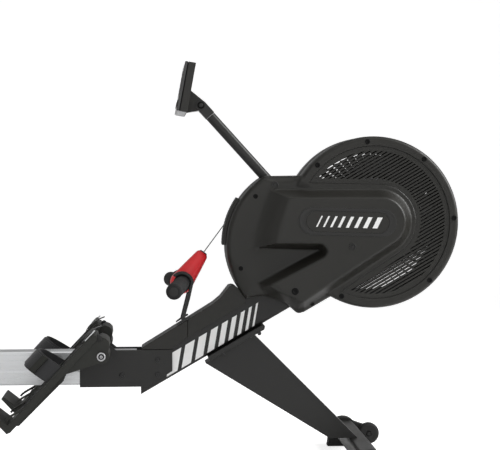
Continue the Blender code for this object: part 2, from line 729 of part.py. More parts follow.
def make_tube_along(name, path, radius, hole_radius, material):
    """A round tube through the points of path, mitred at its bends; solid without a hole radius."""
    steps = 16
    bm = bmesh.new()
    rings = {}
    for kind, size in (("outer", radius), ("inner", hole_radius)):
        if size is None:
            continue
        rings[kind] = []
        for i, point in enumerate(path):
            before = (point - path[i - 1]).normalized() if i else (path[1] - path[0]).normalized()
            after = (path[i + 1] - point).normalized() if i + 1 < len(path) else before
            tangent = (before + after).normalized()
            stretch = 1 / max(0.5, tangent.dot(after))
            side_a = tangent.cross(Vector((0, 0, 1))).normalized()
            side_b = side_a.cross(tangent)
            ring = []
            for k in range(steps):
                angle = 2 * math.pi * k / steps
                ring.append(
                    bm.verts.new(
                        point
                        + side_a * size * stretch * math.cos(angle)
                        + side_b * size * math.sin(angle)
                    )
                )
            rings[kind].append(ring)
    for kind in rings:
        for low, high in zip(rings[kind], rings[kind][1:]):
            for k in range(steps):
                after = (k + 1) % steps
                bm.faces.new((low[k], low[after], high[after], high[k]))
    for end in (0, -1):
        if "inner" in rings:
            for k in range(steps):
                after = (k + 1) % steps
                outer, inner = rings["outer"][end], rings["inner"][end]
                bm.faces.new((outer[k], outer[after], inner[after], inner[k]))
        else:
            bm.faces.new(rings["outer"][end])
    return finish(name, bm, material)


def make_hooks(mats):
    """Two flat hooks on the shroud that hold the handle down against the strap's pull."""
    base_x, base_z = 0.445, 0.3535
    outline = arc(HANDLE_CENTRE, 0.0215, 10, 137, 12)
    outline += arc(HANDLE_CENTRE, 0.0290, 137, 10, 12)
    outline += [(0.4625, 0.409), (0.4500, base_z + 0.010), (0.4600, base_z + 0.0115)]
    outline += [(0.4600, base_z + 0.0085), (0.4300, base_z - 0.0095), (0.4300, base_z - 0.0065)]
    outline += [(0.4410, base_z + 0.002), (0.4545, 0.409)]
    for name, side in (("hook_left", 1), ("hook_right", -1)):
        prism(name, outline, side * HOOK_Y - 0.0065, side * HOOK_Y + 0.0065, mats["painted"])


def shroud_top(x):
    """The height of the shrouds' top line."""
    return 0.291 + (x - 0.347) * 0.614


def shroud_low(x):
    """The height of the shrouds' low line, which runs along the beam."""
    return along_beam(beam_run(x, 0.019), 0.019)[1]


def make_shrouds(mats):
    """Two saddle covers over the top of the beam."""
    seam = 0.457
    front = [(seam + GAP, shroud_low(seam)), (0.5955, shroud_low(0.5955))]
    front += arc(LOBE_CENTRE, LOBE_RADIUS + 0.0006, 220, 213, 3)
    front += arc((0.5640, 0.4240), 0.0150, 60, 120, 5)
    front += [(0.536, 0.4110), (0.5180, shroud_top(0.518)), (seam + GAP, shroud_top(seam))]
    rear = [(0.347, 0.2865), (0.418, 0.2865), (seam, shroud_low(seam)), (seam, shroud_top(seam)), (0.347, shroud_top(0.347))]
    for name, outline in (("shroud_front", front), ("shroud_rear", rear)):
        shroud = prism(name, outline, -0.0365, 0.0365, mats["plastic"])

        def along(y, lift, distance):
            x, z = along_beam(distance, lift)
            return x, y, z

        size = (BEAM_SIZE[0] + 2 * GAP, BEAM_SIZE[1] + 2 * GAP)
        clearance = sweep(name + "_beam", rounded(*size, 0.012), along, -0.5, 0.1, None, helper=True)
        cut(shroud, clearance)


def pedal_point(run, lift):
    """The (x, z) of a point down a footplate from its top end, lifted off its face towards the sole."""
    ux, uz = math.cos(PEDAL_ANGLE), math.sin(PEDAL_ANGLE)
    return PEDAL_TOP[0] - run * ux - lift * uz, PEDAL_TOP[1] - run * uz + lift * ux


def make_pedals(mats):
    """Footplates with a heel cup and a lug on the axle, and their foot straps."""
    rod("pedal_axle", 0.006, -0.200, 0.200, PEDAL_PIVOT, mats["steel"])
    plate = [
        pedal_point(0.004, 0.0),
        pedal_point(PEDAL_LENGTH - 0.012, 0.0),
        pedal_point(PEDAL_LENGTH - 0.008, 0.045),
        pedal_point(PEDAL_LENGTH, 0.045),
        pedal_point(PEDAL_LENGTH + 0.004, -PEDAL_THICKNESS + 0.004),
        pedal_point(PEDAL_LENGTH - 0.004, -PEDAL_THICKNESS),
        pedal_point(0.006, -PEDAL_THICKNESS),
        pedal_point(0.0, -PEDAL_THICKNESS / 2),
    ]
    lug = [pedal_point(0.004, -PEDAL_THICKNESS + 0.001)]
    lug += [(0.2560, 0.3335), (0.2660, 0.3300), (0.2730, 0.3230), (0.2745, 0.3110)]
    lug += arc(PEDAL_PIVOT, 0.018, 30, -110, 10)
    lug += [pedal_point(0.117, -PEDAL_THICKNESS + 0.001)]
    for side_name, side in (("left", 1), ("right", -1)):
        ends = sorted((side * PEDAL_INNER_Y, side * PEDAL_OUTER_Y))
        pedal = prism("pedal_" + side_name, plate, ends[0], ends[1], mats["plastic"])
        lug_ends = sorted((side * (PEDAL_INNER_Y + 0.020), side * (PEDAL_OUTER_Y - 0.006)))
        add(pedal, prism("pedal_lug_" + side_name, lug, lug_ends[0], lug_ends[1], None, helper=True))
        cut(pedal, rod("pedal_bore_" + side_name, 0.0064, -0.25, 0.25, PEDAL_PIVOT, None, helper=True))
        make_foot_strap(side_name, side, mats)


def make_foot_strap(side_name, side, mats):
    """A wide band arched over the foot, standing on the footplate's face."""
    middle = side * (PEDAL_INNER_Y + PEDAL_OUTER_Y) / 2
    half = (PEDAL_OUTER_Y - PEDAL_INNER_Y) / 2 - 0.002
    height = 0.068
    outer, inner = [], []
    steps = 14
    for i in range(steps + 1):
        angle = math.pi * i / steps
        y, lift = math.cos(angle), math.sin(angle) ** 0.6
        outer.append((middle + half * y, GAP + height * lift))
        inner.append((middle + (half - 0.003) * y, GAP + (height - 0.003) * lift))

    def place(y, lift, run):
        x, z = pedal_point(run, lift)
        return x, y, z

    sweep("foot_strap_" + side_name, outer + inner[::-1], place, 0.102, 0.157, mats["webbing"])


def make_seat(mats):
    """A carriage that hooks into the rail's grooves, four rollers, the seat's pan and its cushion."""
    groove_low, groove_high, depth = RAIL_GROOVE
    lip = RAIL_WIDTH / 2 - depth + 0.001
    lip_low, lip_high = groove_low + 0.003, groove_high - 0.003
    top = 0.3275
    half_in = [
        (lip, lip_low),
        (lip, lip_high),
        (0.0400, lip_high),
        (0.0400, top - 0.004),
    ]
    half_out = [(0.0440, top), (0.0440, lip_low)]
    outline = half_in + [(-y, z) for y, z in reversed(half_in)]
    outline += [(-y, z) for y, z in reversed(half_out)] + half_out
    carriage = sweep("seat_carriage", outline, along_x, SEAT_X - 0.105, SEAT_X + 0.105, mats["painted"])
    axle_z = RAIL_TOP + GAP + SEAT_ROLLER_RADIUS
    pins = []
    for end_name, way in (("front", 1), ("rear", -1)):
        for side_name, side in (("left", 1), ("right", -1)):
            x = SEAT_X + way * SEAT_ROLLER_PITCH
            ends = sorted((side * 0.006, side * 0.042))
            pins.append(rod("pin", 0.004, ends[0], ends[1], (x, axle_z), None, segments=12))
            make_seat_roller(f"seat_roller_{end_name}_{side_name}", (x, axle_z), side, mats)
    add(carriage, join_shapes("roller_pins", pins))
    pan = rounded(0.250, 0.300, 0.050, 5, centre=(SEAT_X, 0))
    sweep("seat_pan", pan, along_z, top + GAP, 0.3400, mats["plastic"])
    cushion = rounded(0.262, 0.312, 0.056, 5, centre=(SEAT_X, 0))
    sweep("seat_cushion", cushion, along_z, 0.3404, 0.386, mats["vinyl"])


def make_seat_roller(name, centre, side, mats):
    profile = [(0.0045, 0.010), (0.014, 0.010), (SEAT_ROLLER_RADIUS, 0.012), (SEAT_ROLLER_RADIUS, 0.026)]
    profile += [(0.014, 0.028), (0.0045, 0.028)]
    profile = [(r, side * y) for r, y in profile]
    roller = turned(name, profile, centre, mats["rubber"], closed=True, segments=18)
    set_axis(roller, (centre[0], side * 0.019, centre[1]))


def main():
    clear_scene()
    mats = make_materials()
    make_beam(mats)
    make_rail(mats)
    make_receiver(mats)
    make_rear(mats)
    make_front(mats)
    make_covers(mats)
    make_slot_bezel(mats)
    make_drive(mats)
    make_mast(mats)
    make_console(mats)
    make_handle(mats)
    make_hooks(mats)
    make_shrouds(mats)
    make_pedals(mats)
    make_seat(mats)


main()
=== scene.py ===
import json
import math

import bmesh
import bpy
import numpy as np
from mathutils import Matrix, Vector
from mathutils.geometry import delaunay_2d_cdt

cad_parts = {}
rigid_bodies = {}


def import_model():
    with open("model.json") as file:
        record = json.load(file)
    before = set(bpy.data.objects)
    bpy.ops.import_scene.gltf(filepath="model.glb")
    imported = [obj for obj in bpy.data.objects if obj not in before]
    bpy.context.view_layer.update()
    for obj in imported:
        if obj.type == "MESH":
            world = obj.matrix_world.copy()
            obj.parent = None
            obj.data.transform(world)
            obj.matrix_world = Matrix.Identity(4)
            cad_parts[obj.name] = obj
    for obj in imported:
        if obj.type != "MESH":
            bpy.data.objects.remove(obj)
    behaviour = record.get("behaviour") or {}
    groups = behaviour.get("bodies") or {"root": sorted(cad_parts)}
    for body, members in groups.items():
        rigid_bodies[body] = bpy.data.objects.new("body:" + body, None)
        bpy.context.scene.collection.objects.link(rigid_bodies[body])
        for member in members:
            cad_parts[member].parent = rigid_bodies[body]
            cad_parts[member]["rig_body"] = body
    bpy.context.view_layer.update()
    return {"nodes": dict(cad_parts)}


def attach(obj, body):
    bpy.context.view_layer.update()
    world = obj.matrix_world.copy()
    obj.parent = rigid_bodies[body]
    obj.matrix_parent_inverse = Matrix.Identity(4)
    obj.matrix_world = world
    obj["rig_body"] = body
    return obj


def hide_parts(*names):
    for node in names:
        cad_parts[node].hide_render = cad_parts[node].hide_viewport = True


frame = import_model()
nodes = frame["nodes"]
sides = (("left", 1), ("right", -1))
print("frame loaded:", len(nodes), "parts")


view = {"place": (0.361, -3.40, 0.680), "yaw": 4.17, "pitch": 1.63, "lens": 101.45}
light = {"world": 0.30, "floor": (0.90, 0.90, 0.90), "floorGlow": 0.65}
lamps = {  # place, what it faces, size, power
    "topLight": ((0.4, -1.0, 3.2), (0.4, 0, 0.4), (3.5, 2.5), 18),
    "frontLight": ((0.2, -4.6, 1.5), (0.5, 0, 0.5), (3.6, 2.6), 32),
    "leftLight": ((-2.6, -1.6, 1.6), (0.6, 0, 0.5), (2.0, 2.4), 6),
    "rightLight": ((3.1, -0.5, 1.9), (0.9, 0, 0.55), (1.2, 2.2), 90),
}
sheet = {"half": 14, "near": -9, "bend": 4.5, "curve": 2.5, "top": 9.0, "rows": 12}


def makeCamera():
    data = bpy.data.cameras.new("camera")
    data.lens = view["lens"]
    data.sensor_width = 36
    camera = bpy.data.objects.new("camera", data)
    camera.location = view["place"]
    camera.rotation_euler = (math.radians(90 - view["pitch"]), 0, math.radians(-view["yaw"]))
    bpy.context.scene.collection.objects.link(camera)
    bpy.context.scene.camera = camera


def areaLight(name, place, target, size, power):
    data = bpy.data.lights.new(name, "AREA")
    data.shape = "RECTANGLE"
    data.size, data.size_y = size
    data.energy = power
    lamp = bpy.data.objects.new(name, data)
    lamp.location = place
    lamp.rotation_euler = (Vector(target) - Vector(place)).to_track_quat("-Z", "Y").to_euler()
    bpy.context.scene.collection.objects.link(lamp)


def makeStudio():
    bpy.context.scene.view_settings.view_transform = "Standard"
    world = bpy.data.worlds.new("studio")
    bpy.context.scene.world = world
    world.use_nodes = True
    tree = world.node_tree
    background = tree.nodes["Background"]
    path = tree.nodes.new("ShaderNodeLightPath")
    blend = tree.nodes.new("ShaderNodeMapRange")
    blend.inputs["To Min"].default_value = light["world"]
    blend.inputs["To Max"].default_value = 1.0
    tree.links.new(path.outputs["Is Camera Ray"], blend.inputs["Value"])
    tree.links.new(blend.outputs["Result"], background.inputs["Strength"])
    background.inputs["Color"].default_value = (1, 1, 1, 1)
    for name, lamp in lamps.items():
        areaLight(name, *lamp)
    # The floor is one sheet: level to the back, a quarter-round up behind the machine, then straight up.
    bend, curve, rows = sheet["bend"], sheet["curve"], sheet["rows"]
    turn = np.linspace(0.1, math.pi / 2, rows)
    run = np.concatenate([np.linspace(sheet["near"], bend, rows), bend + curve * np.sin(turn), [bend + curve]])
    rise = np.concatenate([np.zeros(rows), curve - curve * np.cos(turn), [sheet["top"]]])
    grid = np.zeros((2, len(run), 3))
    grid[0, :, 0], grid[1, :, 0] = -sheet["half"], sheet["half"]
    grid[:, :, 1], grid[:, :, 2] = run, rise
    floor = gridMesh("floor", grid)
    floor.data.flip_normals()
    pale = plainMaterial("paleFloor", light["floor"], 0.9)
    shader = pale.node_tree.nodes["Principled BSDF"]
    shader.inputs["Emission Color"].default_value = (1, 1, 1, 1)
    seen = addNode(pale.node_tree, "ShaderNodeLightPath")
    glow = addNode(
        pale.node_tree, "ShaderNodeMath", {0: seen.outputs["Is Camera Ray"], 1: light["floorGlow"]},
        operation="MULTIPLY",
    )
    pale.node_tree.links.new(glow.outputs[0], shader.inputs["Emission Strength"])
    floor.data.materials.append(pale)


# An object from vertex and face arrays, smooth except over edges sharper than the given angle.
def newObject(name, vertices, faces, smooth=35):
    mesh = bpy.data.meshes.new(name)
    mesh.from_pydata(np.asarray(vertices, float).tolist(), [], [list(map(int, f)) for f in faces])
    mesh.update()
    mesh.shade_smooth()
    if smooth:
        mesh.set_sharp_from_angle(angle=math.radians(smooth))
    obj = bpy.data.objects.new(name, mesh)
    bpy.context.scene.collection.objects.link(obj)
    return obj


# Quads between neighbouring points of a grid, numbered row by row.
def gridFaces(rows, columns, wrapRows=False, wrapColumns=False):
    r = np.arange(rows if wrapRows else rows - 1)
    c = np.arange(columns if wrapColumns else columns - 1)
    r, c = np.meshgrid(r, c, indexing="ij")
    r, c = r.ravel(), c.ravel()
    rowAfter, columnAfter = (r + 1) % rows, (c + 1) % columns
    return np.stack(
        [r * columns + c, r * columns + columnAfter, rowAfter * columns + columnAfter, rowAfter * columns + c],
        1,
    )


# A surface from a grid of points; caps closes its first and last rows.
def gridMesh(name, grid, wrapRows=False, wrapColumns=False, caps=False, smooth=35):
    rows, columns = grid.shape[:2]
    faces = gridFaces(rows, columns, wrapRows, wrapColumns).tolist()
    if caps:
        faces.append(list(range(columns))[::-1])
        faces.append(list(range((rows - 1) * columns, rows * columns)))
    obj = newObject(name, grid.reshape(-1, 3), faces, smooth)
    if caps or (wrapRows and wrapColumns):
        outward(obj)
    return obj


# Turns every face of a closed mesh to point out.
def outward(obj):
    bm = bmesh.new()
    bm.from_mesh(obj.data)
    bmesh.ops.recalc_face_normals(bm, faces=bm.faces)
    bm.to_mesh(obj.data)
    bm.free()


# A profile of (across, up) points carried along a path, square to it, with flat closed ends.
def sweepAlong(name, path, profile, up=(0, 1, 0), scale=None, smooth=40):
    path = np.asarray(path, float)
    tangent = np.gradient(path, axis=0)
    tangent /= np.linalg.norm(tangent, axis=1)[:, None]
    across = np.cross(tangent, np.asarray(up, float))
    across /= np.linalg.norm(across, axis=1)[:, None]
    lift = np.cross(across, tangent)
    profile = np.asarray(profile, float)
    size = np.ones((len(path), 1, 1)) if scale is None else np.asarray(scale, float)[:, None, None]
    grid = path[:, None] + size * (
        across[:, None] * profile[None, :, :1] + lift[:, None] * profile[None, :, 1:]
    )
    return gridMesh(name, grid, wrapColumns=True, caps=True, smooth=smooth)


# Each (radius, along) point of a profile turned into a ring about an axis through the centre.
def turned(profile, centre, axis, steps):
    axis = np.asarray(Vector(axis).normalized())
    side = np.asarray(Vector(axis).orthogonal().normalized())
    turn = np.linspace(0, 2 * math.pi, steps, endpoint=False)
    radial = np.cos(turn)[:, None] * side + np.sin(turn)[:, None] * np.cross(axis, side)
    profile = np.asarray(profile, float)
    return np.asarray(centre) + profile[:, None, :1] * radial[None] + profile[:, None, 1:] * axis


# A ring: its profile is a closed loop clear of the axis.
def lathe(name, profile, centre, axis=(0, 1, 0), steps=48, smooth=35):
    grid = turned(profile, centre, axis, steps).transpose(1, 0, 2)
    return gridMesh(name, grid, wrapRows=True, wrapColumns=True, smooth=smooth)


# A solid: its profile runs from one end to the other, and both ends close flat.
def disc(name, profile, centre, axis=(0, 1, 0), steps=32, smooth=35):
    return gridMesh(name, turned(profile, centre, axis, steps), wrapColumns=True, caps=True, smooth=smooth)


def arc(centre, radius, start, end, steps):
    angle = np.radians(np.linspace(start, end, steps + 1))
    return np.stack([centre[0] + radius * np.cos(angle), centre[1] + radius * np.sin(angle)], 1)


# A slot-shaped outline about the origin.
def stadium(length, width, steps=14):
    half = (length - width) / 2
    return np.concatenate(
        [arc((half, 0), width / 2, -90, 90, steps), arc((-half, 0), width / 2, 90, 270, steps)]
    )


def roundRect(width, height, radius, steps=5):
    corners = []
    for k, (sx, sz) in enumerate(((1, 1), (-1, 1), (-1, -1), (1, -1))):
        middle = (sx * (width / 2 - radius), sz * (height / 2 - radius))
        corners.append(arc(middle, radius, 90 * k, 90 * k + 90, steps))
    return np.concatenate(corners)


# The outline with each side moved in by the distance; its corners keep their mitres.
def inset(outline, distance):
    points = np.asarray(outline, float)
    after = np.roll(points, -1, 0)
    area = np.sum(points[:, 0] * after[:, 1] - after[:, 0] * points[:, 1])
    ahead = after - points
    ahead /= np.linalg.norm(ahead, axis=1)[:, None]
    behind = np.roll(ahead, 1, 0)
    turn = 1 if area > 0 else -1
    first = np.stack([-behind[:, 1], behind[:, 0]], 1) * turn
    second = np.stack([-ahead[:, 1], ahead[:, 0]], 1) * turn
    middle = first + second
    middle /= np.linalg.norm(middle, axis=1)[:, None]
    return points + middle * distance / np.maximum(0.5, np.sum(middle * first, 1))[:, None]


# True where a ray to the right crosses the outline an odd number of times.
def insideOutline(points, outline):
    inside = np.zeros(len(points), bool)
    for (ax, az), (bx, bz) in zip(outline, np.roll(outline, -1, 0)):
        crosses = (az > points[:, 1]) != (bz > points[:, 1])
        if az != bz:
            inside ^= crosses & (points[:, 0] < (bx - ax) * (points[:, 1] - az) / (bz - az) + ax)
    return inside


# The distance from each point to the nearest stretch of a line.
def distanceTo(points, line, closed=True):
    line = np.asarray(line, float)
    ends = np.roll(line, -1, 0) if closed else line[1:]
    best = np.full(len(points), 1e9)
    for a, b in zip(line, ends):
        span = b - a
        share = np.clip(((points - a) @ span) / max(span @ span, 1e-12), 0, 1)
        best = np.minimum(best, np.linalg.norm(points - a - share[:, None] * span, axis=1))
    return best


# 0 below 0, 1 above 1, and an even S between.
def ease(value):
    t = np.clip(value, 0, 1)
    return t * t * (3 - 2 * t)


# Triangles over the plane that keep every loop and line as edges, with a hexagonal net between them.
def fillOutlines(loops, lines, step):
    allPoints = np.concatenate(list(loops) + list(lines))
    low, high = allPoints.min(0), allPoints.max(0)
    rows = np.arange(low[1], high[1], step * 0.866)
    columns = np.arange(low[0], high[0], step)
    gx, gz = np.meshgrid(columns, rows)
    gx = gx + (np.arange(len(rows)) % 2)[:, None] * step / 2
    net = np.stack([gx.ravel(), gz.ravel()], 1)
    net = net[insideOutline(net, loops[0])]
    clear = np.ones(len(net), bool)
    for loop in loops:
        clear &= distanceTo(net, loop) > step * 0.45
    for line in lines:
        clear &= distanceTo(net, line, closed=False) > step * 0.3
    net = net[clear]
    points, edges, start = [], [], 0
    for loop in loops:
        points.append(loop)
        edges += [(start + i, start + (i + 1) % len(loop)) for i in range(len(loop))]
        start += len(loop)
    for line in lines:
        points.append(line)
        edges += [(start + i, start + i + 1) for i in range(len(line) - 1)]
        start += len(line)
    points = np.concatenate(points + [net])
    found = delaunay_2d_cdt([Vector(p) for p in points], edges, [], 0, 1e-7, False)
    return np.array([tuple(v) for v in found[0]]), np.array(found[2])


# Only the points that the triangles use, and the triangles renumbered.
def used(points, triangles):
    kept, index = np.unique(triangles, return_inverse=True)
    return points[kept], index.reshape(-1, 3)


# The edges that only one triangle has, in that triangle's direction.
def borderEdges(triangles):
    ends = np.concatenate([triangles[:, [0, 1]], triangles[:, [1, 2]], triangles[:, [2, 0]]])
    _, index, count = np.unique(np.sort(ends, 1), axis=0, return_inverse=True, return_counts=True)
    return ends[count[index.reshape(-1)] == 1]


# A flat plate between two depths: the triangles twice over, joined by a wall round every border.
def plateFrom(name, points, triangles, low, high, smooth=35):
    count = len(points)
    front = np.stack([points[:, 0], np.full(count, low), points[:, 1]], 1)
    back = front.copy()
    back[:, 1] = high
    border = borderEdges(triangles)
    walls = np.stack([border[:, 0], border[:, 1], border[:, 1] + count, border[:, 0] + count], 1)
    faces = triangles[:, ::-1].tolist() + (triangles + count).tolist() + walls.tolist()
    obj = newObject(name, np.concatenate([front, back]), faces, smooth)
    outward(obj)
    return obj


# One mesh of boxes: each four-cornered outline of (x, z) points between two depths on one side.
def boxesOn(name, outlines, side, low, high):
    vertices, faces = [], []
    for outline in outlines:
        base = len(vertices)
        vertices += [(x, side * low, z) for x, z in outline] + [(x, side * high, z) for x, z in outline]
        faces += [[base + 3, base + 2, base + 1, base], [base + 4, base + 5, base + 6, base + 7]]
        faces += [[base + i, base + (i + 1) % 4, base + 4 + (i + 1) % 4, base + 4 + i] for i in range(4)]
    obj = newObject(name, vertices, faces, smooth=30)
    outward(obj)
    return obj


# A slanted bar of a print: its start and width along the line, its low and high edges, and its lean.
def slantBar(start, width, low, high, lean):
    return np.array([(start, low), (start + width, low), (start + width + lean, high), (start + lean, high)])


# An outline of (x, z) points carried across the machine, with rounded edges.
def prismPiece(name, outline, low, high, bevel=0.0, segments=2):
    outline = np.asarray(outline, float)
    grid = np.zeros((2, len(outline), 3))
    grid[:, :, 0], grid[:, :, 2] = outline[:, 0], outline[:, 1]
    grid[0, :, 1], grid[1, :, 1] = low, high
    obj = gridMesh(name, grid, wrapColumns=True, caps=True)
    if bevel:
        roundEdges(obj, bevel, segments)
    return obj


def roundEdges(obj, width, segments=2, angle=32):
    bevel = obj.modifiers.new("round", "BEVEL")
    bevel.width = width
    bevel.segments = segments
    bevel.limit_method = "ANGLE"
    bevel.angle_limit = math.radians(angle)
    bevel.harden_normals = True
    bevel.use_clamp_overlap = True


# Gives a new piece its finish and its body, and hides the parts that it stands for.
def finishPiece(obj, finish, body, slotName, *stands):
    obj.data.materials.clear()
    obj.data.materials.append(mats[finish])
    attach(obj, body)
    if stands:
        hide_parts(*stands)
    return obj


def nodeGroup(name, inputs, outputs):
    group = bpy.data.node_groups.new(name, "ShaderNodeTree")
    for label, value in inputs.items():
        socket = group.interface.new_socket(label, in_out="INPUT", socket_type="NodeSocketFloat")
        socket.default_value = value
    for label in outputs:
        group.interface.new_socket(label, in_out="OUTPUT", socket_type="NodeSocketFloat")
    return group, group.nodes.new("NodeGroupInput"), group.nodes.new("NodeGroupOutput")


def addNode(tree, kind, inputs=None, **settings):
    node = tree.nodes.new(kind)
    for key, value in settings.items():
        setattr(node, key, value)
    for key, value in (inputs or {}).items():
        if isinstance(value, bpy.types.NodeSocket):
            tree.links.new(value, node.inputs[key])
        else:
            node.inputs[key].default_value = value
    return node


# Moulded skin: a fine grain, with slow patches that shift the tone and the gloss a little.
def mouldGroup():
    group, entry, leave = nodeGroup("mouldedSkin", {"Grain Size": 900.0, "Patch Size": 9.0}, ("Grain", "Patch"))
    place = addNode(group, "ShaderNodeTexCoord")
    grain = addNode(group, "ShaderNodeTexNoise", {"Vector": place.outputs["Object"], "Detail": 2.0})
    patch = addNode(
        group, "ShaderNodeTexNoise", {"Vector": place.outputs["Object"], "Detail": 4.0, "Roughness": 0.6},
    )
    group.links.new(entry.outputs["Grain Size"], grain.inputs["Scale"])
    group.links.new(entry.outputs["Patch Size"], patch.inputs["Scale"])
    group.links.new(grain.outputs["Fac"], leave.inputs["Grain"])
    group.links.new(patch.outputs["Fac"], leave.inputs["Patch"])
    return group


# Cells: the edges of a close pebble pattern, for foam, vinyl and rubber.
def cellGroup():
    group, entry, leave = nodeGroup("cellSkin", {"Cell Size": 700.0, "Patch Size": 14.0}, ("Cell", "Patch"))
    place = addNode(group, "ShaderNodeTexCoord")
    cell = addNode(group, "ShaderNodeTexVoronoi", {"Vector": place.outputs["Object"]})
    patch = addNode(group, "ShaderNodeTexNoise", {"Vector": place.outputs["Object"], "Detail": 3.0})
    group.links.new(entry.outputs["Cell Size"], cell.inputs["Scale"])
    group.links.new(entry.outputs["Patch Size"], patch.inputs["Scale"])
    group.links.new(cell.outputs["Distance"], leave.inputs["Cell"])
    group.links.new(patch.outputs["Fac"], leave.inputs["Patch"])
    return group


# Woven tape: two crossed waves on the piece's own UV map, in metres.
def weaveGroup():
    group, entry, leave = nodeGroup("wovenTape", {"Thread": 0.0011}, ("Weave", "Rib"))
    place = addNode(group, "ShaderNodeUVMap")
    split = addNode(group, "ShaderNodeSeparateXYZ", {"Vector": place.outputs["UV"]})
    waves = []
    for axis in ("X", "Y"):
        ratio = addNode(group, "ShaderNodeMath", {0: split.outputs[axis]}, operation="DIVIDE")
        group.links.new(entry.outputs["Thread"], ratio.inputs[1])
        turn = addNode(group, "ShaderNodeMath", {0: ratio.outputs[0], 1: math.pi}, operation="MULTIPLY")
        waves.append(addNode(group, "ShaderNodeMath", {0: turn.outputs[0]}, operation="SINE"))
    cross = addNode(
        group, "ShaderNodeMath", {0: waves[0].outputs[0], 1: waves[1].outputs[0]}, operation="MULTIPLY",
    )
    half = addNode(group, "ShaderNodeMath", {0: cross.outputs[0], 1: 0.5, 2: 0.5}, operation="MULTIPLY_ADD")
    rib = addNode(group, "ShaderNodeMath", {0: waves[0].outputs[0], 1: 0.5, 2: 0.5}, operation="MULTIPLY_ADD")
    group.links.new(half.outputs[0], leave.inputs["Weave"])
    group.links.new(rib.outputs[0], leave.inputs["Rib"])
    return group


# Brushed lines that run along X, for the drawn rail.
def brushGroup():
    group, entry, leave = nodeGroup("brushedLines", {"Fineness": 900.0}, ("Lines",))
    place = addNode(group, "ShaderNodeTexCoord")
    stretch = addNode(
        group, "ShaderNodeMapping", {"Vector": place.outputs["Object"], "Scale": (0.012, 1.0, 1.0)},
    )
    lines = addNode(group, "ShaderNodeTexNoise", {"Vector": stretch.outputs["Vector"], "Detail": 3.0})
    group.links.new(entry.outputs["Fineness"], lines.inputs["Scale"])
    group.links.new(lines.outputs["Fac"], leave.inputs["Lines"])
    return group


def plainMaterial(name, colour, roughness):
    material = bpy.data.materials.new(name)
    material.use_nodes = True
    shader = material.node_tree.nodes["Principled BSDF"]
    shader.inputs["Base Color"].default_value = (*colour, 1)
    shader.inputs["Roughness"].default_value = roughness
    return material


# Each pattern's outputs for the height of its bump and for the shift of its tone.
patterns = {
    "mouldedSkin": (mouldGroup(), "Grain", "Patch"), "cellSkin": (cellGroup(), "Cell", "Patch"),
    "wovenTape": (weaveGroup(), "Weave", "Rib"), "brushedLines": (brushGroup(), "Lines", "Lines"),
}
soft, metal = {"Specular IOR Level": 0.42}, {"Metallic": 1.0}

# Each finish: its pattern, its dark and pale colours (one number is a grey), its lowest and highest roughness,
# its bump's strength and distance in metres, the shader's own settings, and the pattern's own values.
finishes = {
    "casePlastic": (
        "mouldedSkin", (0.0125, 0.0120, 0.0098), (0.0165, 0.0158, 0.0130), (0.38, 0.46), (0.25, 0.0002), soft,
    ),
    "framePaint": (
        "mouldedSkin", (0.0130, 0.0128, 0.0120), (0.0170, 0.0166, 0.0156), (0.36, 0.46), (0.30, 0.0003), soft,
        {"Grain Size": 500.0},
    ),
    "pedalPlastic": (
        "mouldedSkin", (0.0140, 0.0146, 0.0112), (0.0200, 0.0205, 0.0165), (0.42, 0.55), (0.4, 0.0003), soft,
    ),
    "glossPlastic": (
        "mouldedSkin", (0.0060, 0.0060, 0.0062), (0.0080, 0.0080, 0.0082), (0.10, 0.17), (0.03, 0.0001),
        {"Coat Weight": 0.4, "Coat Roughness": 0.08},
    ),
    "displayGlass": (
        "mouldedSkin", (0.022, 0.027, 0.026), (0.028, 0.034, 0.032), (0.05, 0.08), (0.01, 0.0001),
        {"Coat Weight": 0.6, "Coat Roughness": 0.04},
    ),
    "redPlastic": ("mouldedSkin", (0.76, 0.018, 0.024), (0.90, 0.030, 0.038), (0.28, 0.38), (0.12, 0.0002), {}),
    "rubber": ("cellSkin", 0.010, (0.018, 0.018, 0.017), (0.62, 0.80), (0.25, 0.0002), soft),
    "gripFoam": ("cellSkin", 0.009, 0.016, (0.75, 0.92), (0.6, 0.0004), soft, {"Cell Size": 1200.0}),
    "seatVinyl": (
        "cellSkin", (0.011, 0.011, 0.012), (0.018, 0.018, 0.019), (0.44, 0.58), (0.5, 0.0004), soft,
        {"Cell Size": 620.0, "Patch Size": 8.0},
    ),
    "webbing": (
        "wovenTape", (0.016, 0.016, 0.017), (0.040, 0.040, 0.042), (0.75, 0.9), (0.7, 0.0004),
        {"Sheen Weight": 0.25},
    ),
    "strapTape": ("wovenTape", 0.12, 0.22, (0.7, 0.85), (0.7, 0.0003), {"Sheen Weight": 0.2}),
    "railAlloy": ("brushedLines", (0.66, 0.67, 0.68), (0.80, 0.81, 0.82), (0.24, 0.40), (0.10, 0.0001), metal),
    "zincSteel": ("mouldedSkin", (0.50, 0.50, 0.51), (0.62, 0.62, 0.63), (0.22, 0.36), (0.08, 0.0001), metal),
    # Pale half-metal for the strips under the console and its bracket: a painted reflection of the bright
    # floor.
    "floorReflectionPale": (
        "mouldedSkin", (0.62, 0.62, 0.63), (0.74, 0.74, 0.75), (0.34, 0.46), (0.06, 0.0001), {"Metallic": 0.35},
    ),
    "blackBolt": ("mouldedSkin", 0.010, 0.016, (0.24, 0.36), (0.08, 0.0001), soft),
    "deepBlack": ("mouldedSkin", 0.0015, 0.0025, (0.5, 0.6), (0.08, 0.0001), {"Specular IOR Level": 0.15}),
    "flywheelIron": ("mouldedSkin", (0.24, 0.24, 0.25), (0.33, 0.33, 0.34), (0.35, 0.5), (0.15, 0.0002), metal),
    "whitePrint": ("mouldedSkin", (0.84, 0.84, 0.83), (0.92, 0.92, 0.91), (0.35, 0.45), (0.1, 0.0001), {}),
    "greyPrint": (
        "mouldedSkin", (0.030, 0.030, 0.028), (0.040, 0.040, 0.037), (0.30, 0.40), (0.1, 0.0001), soft,
    ),
}


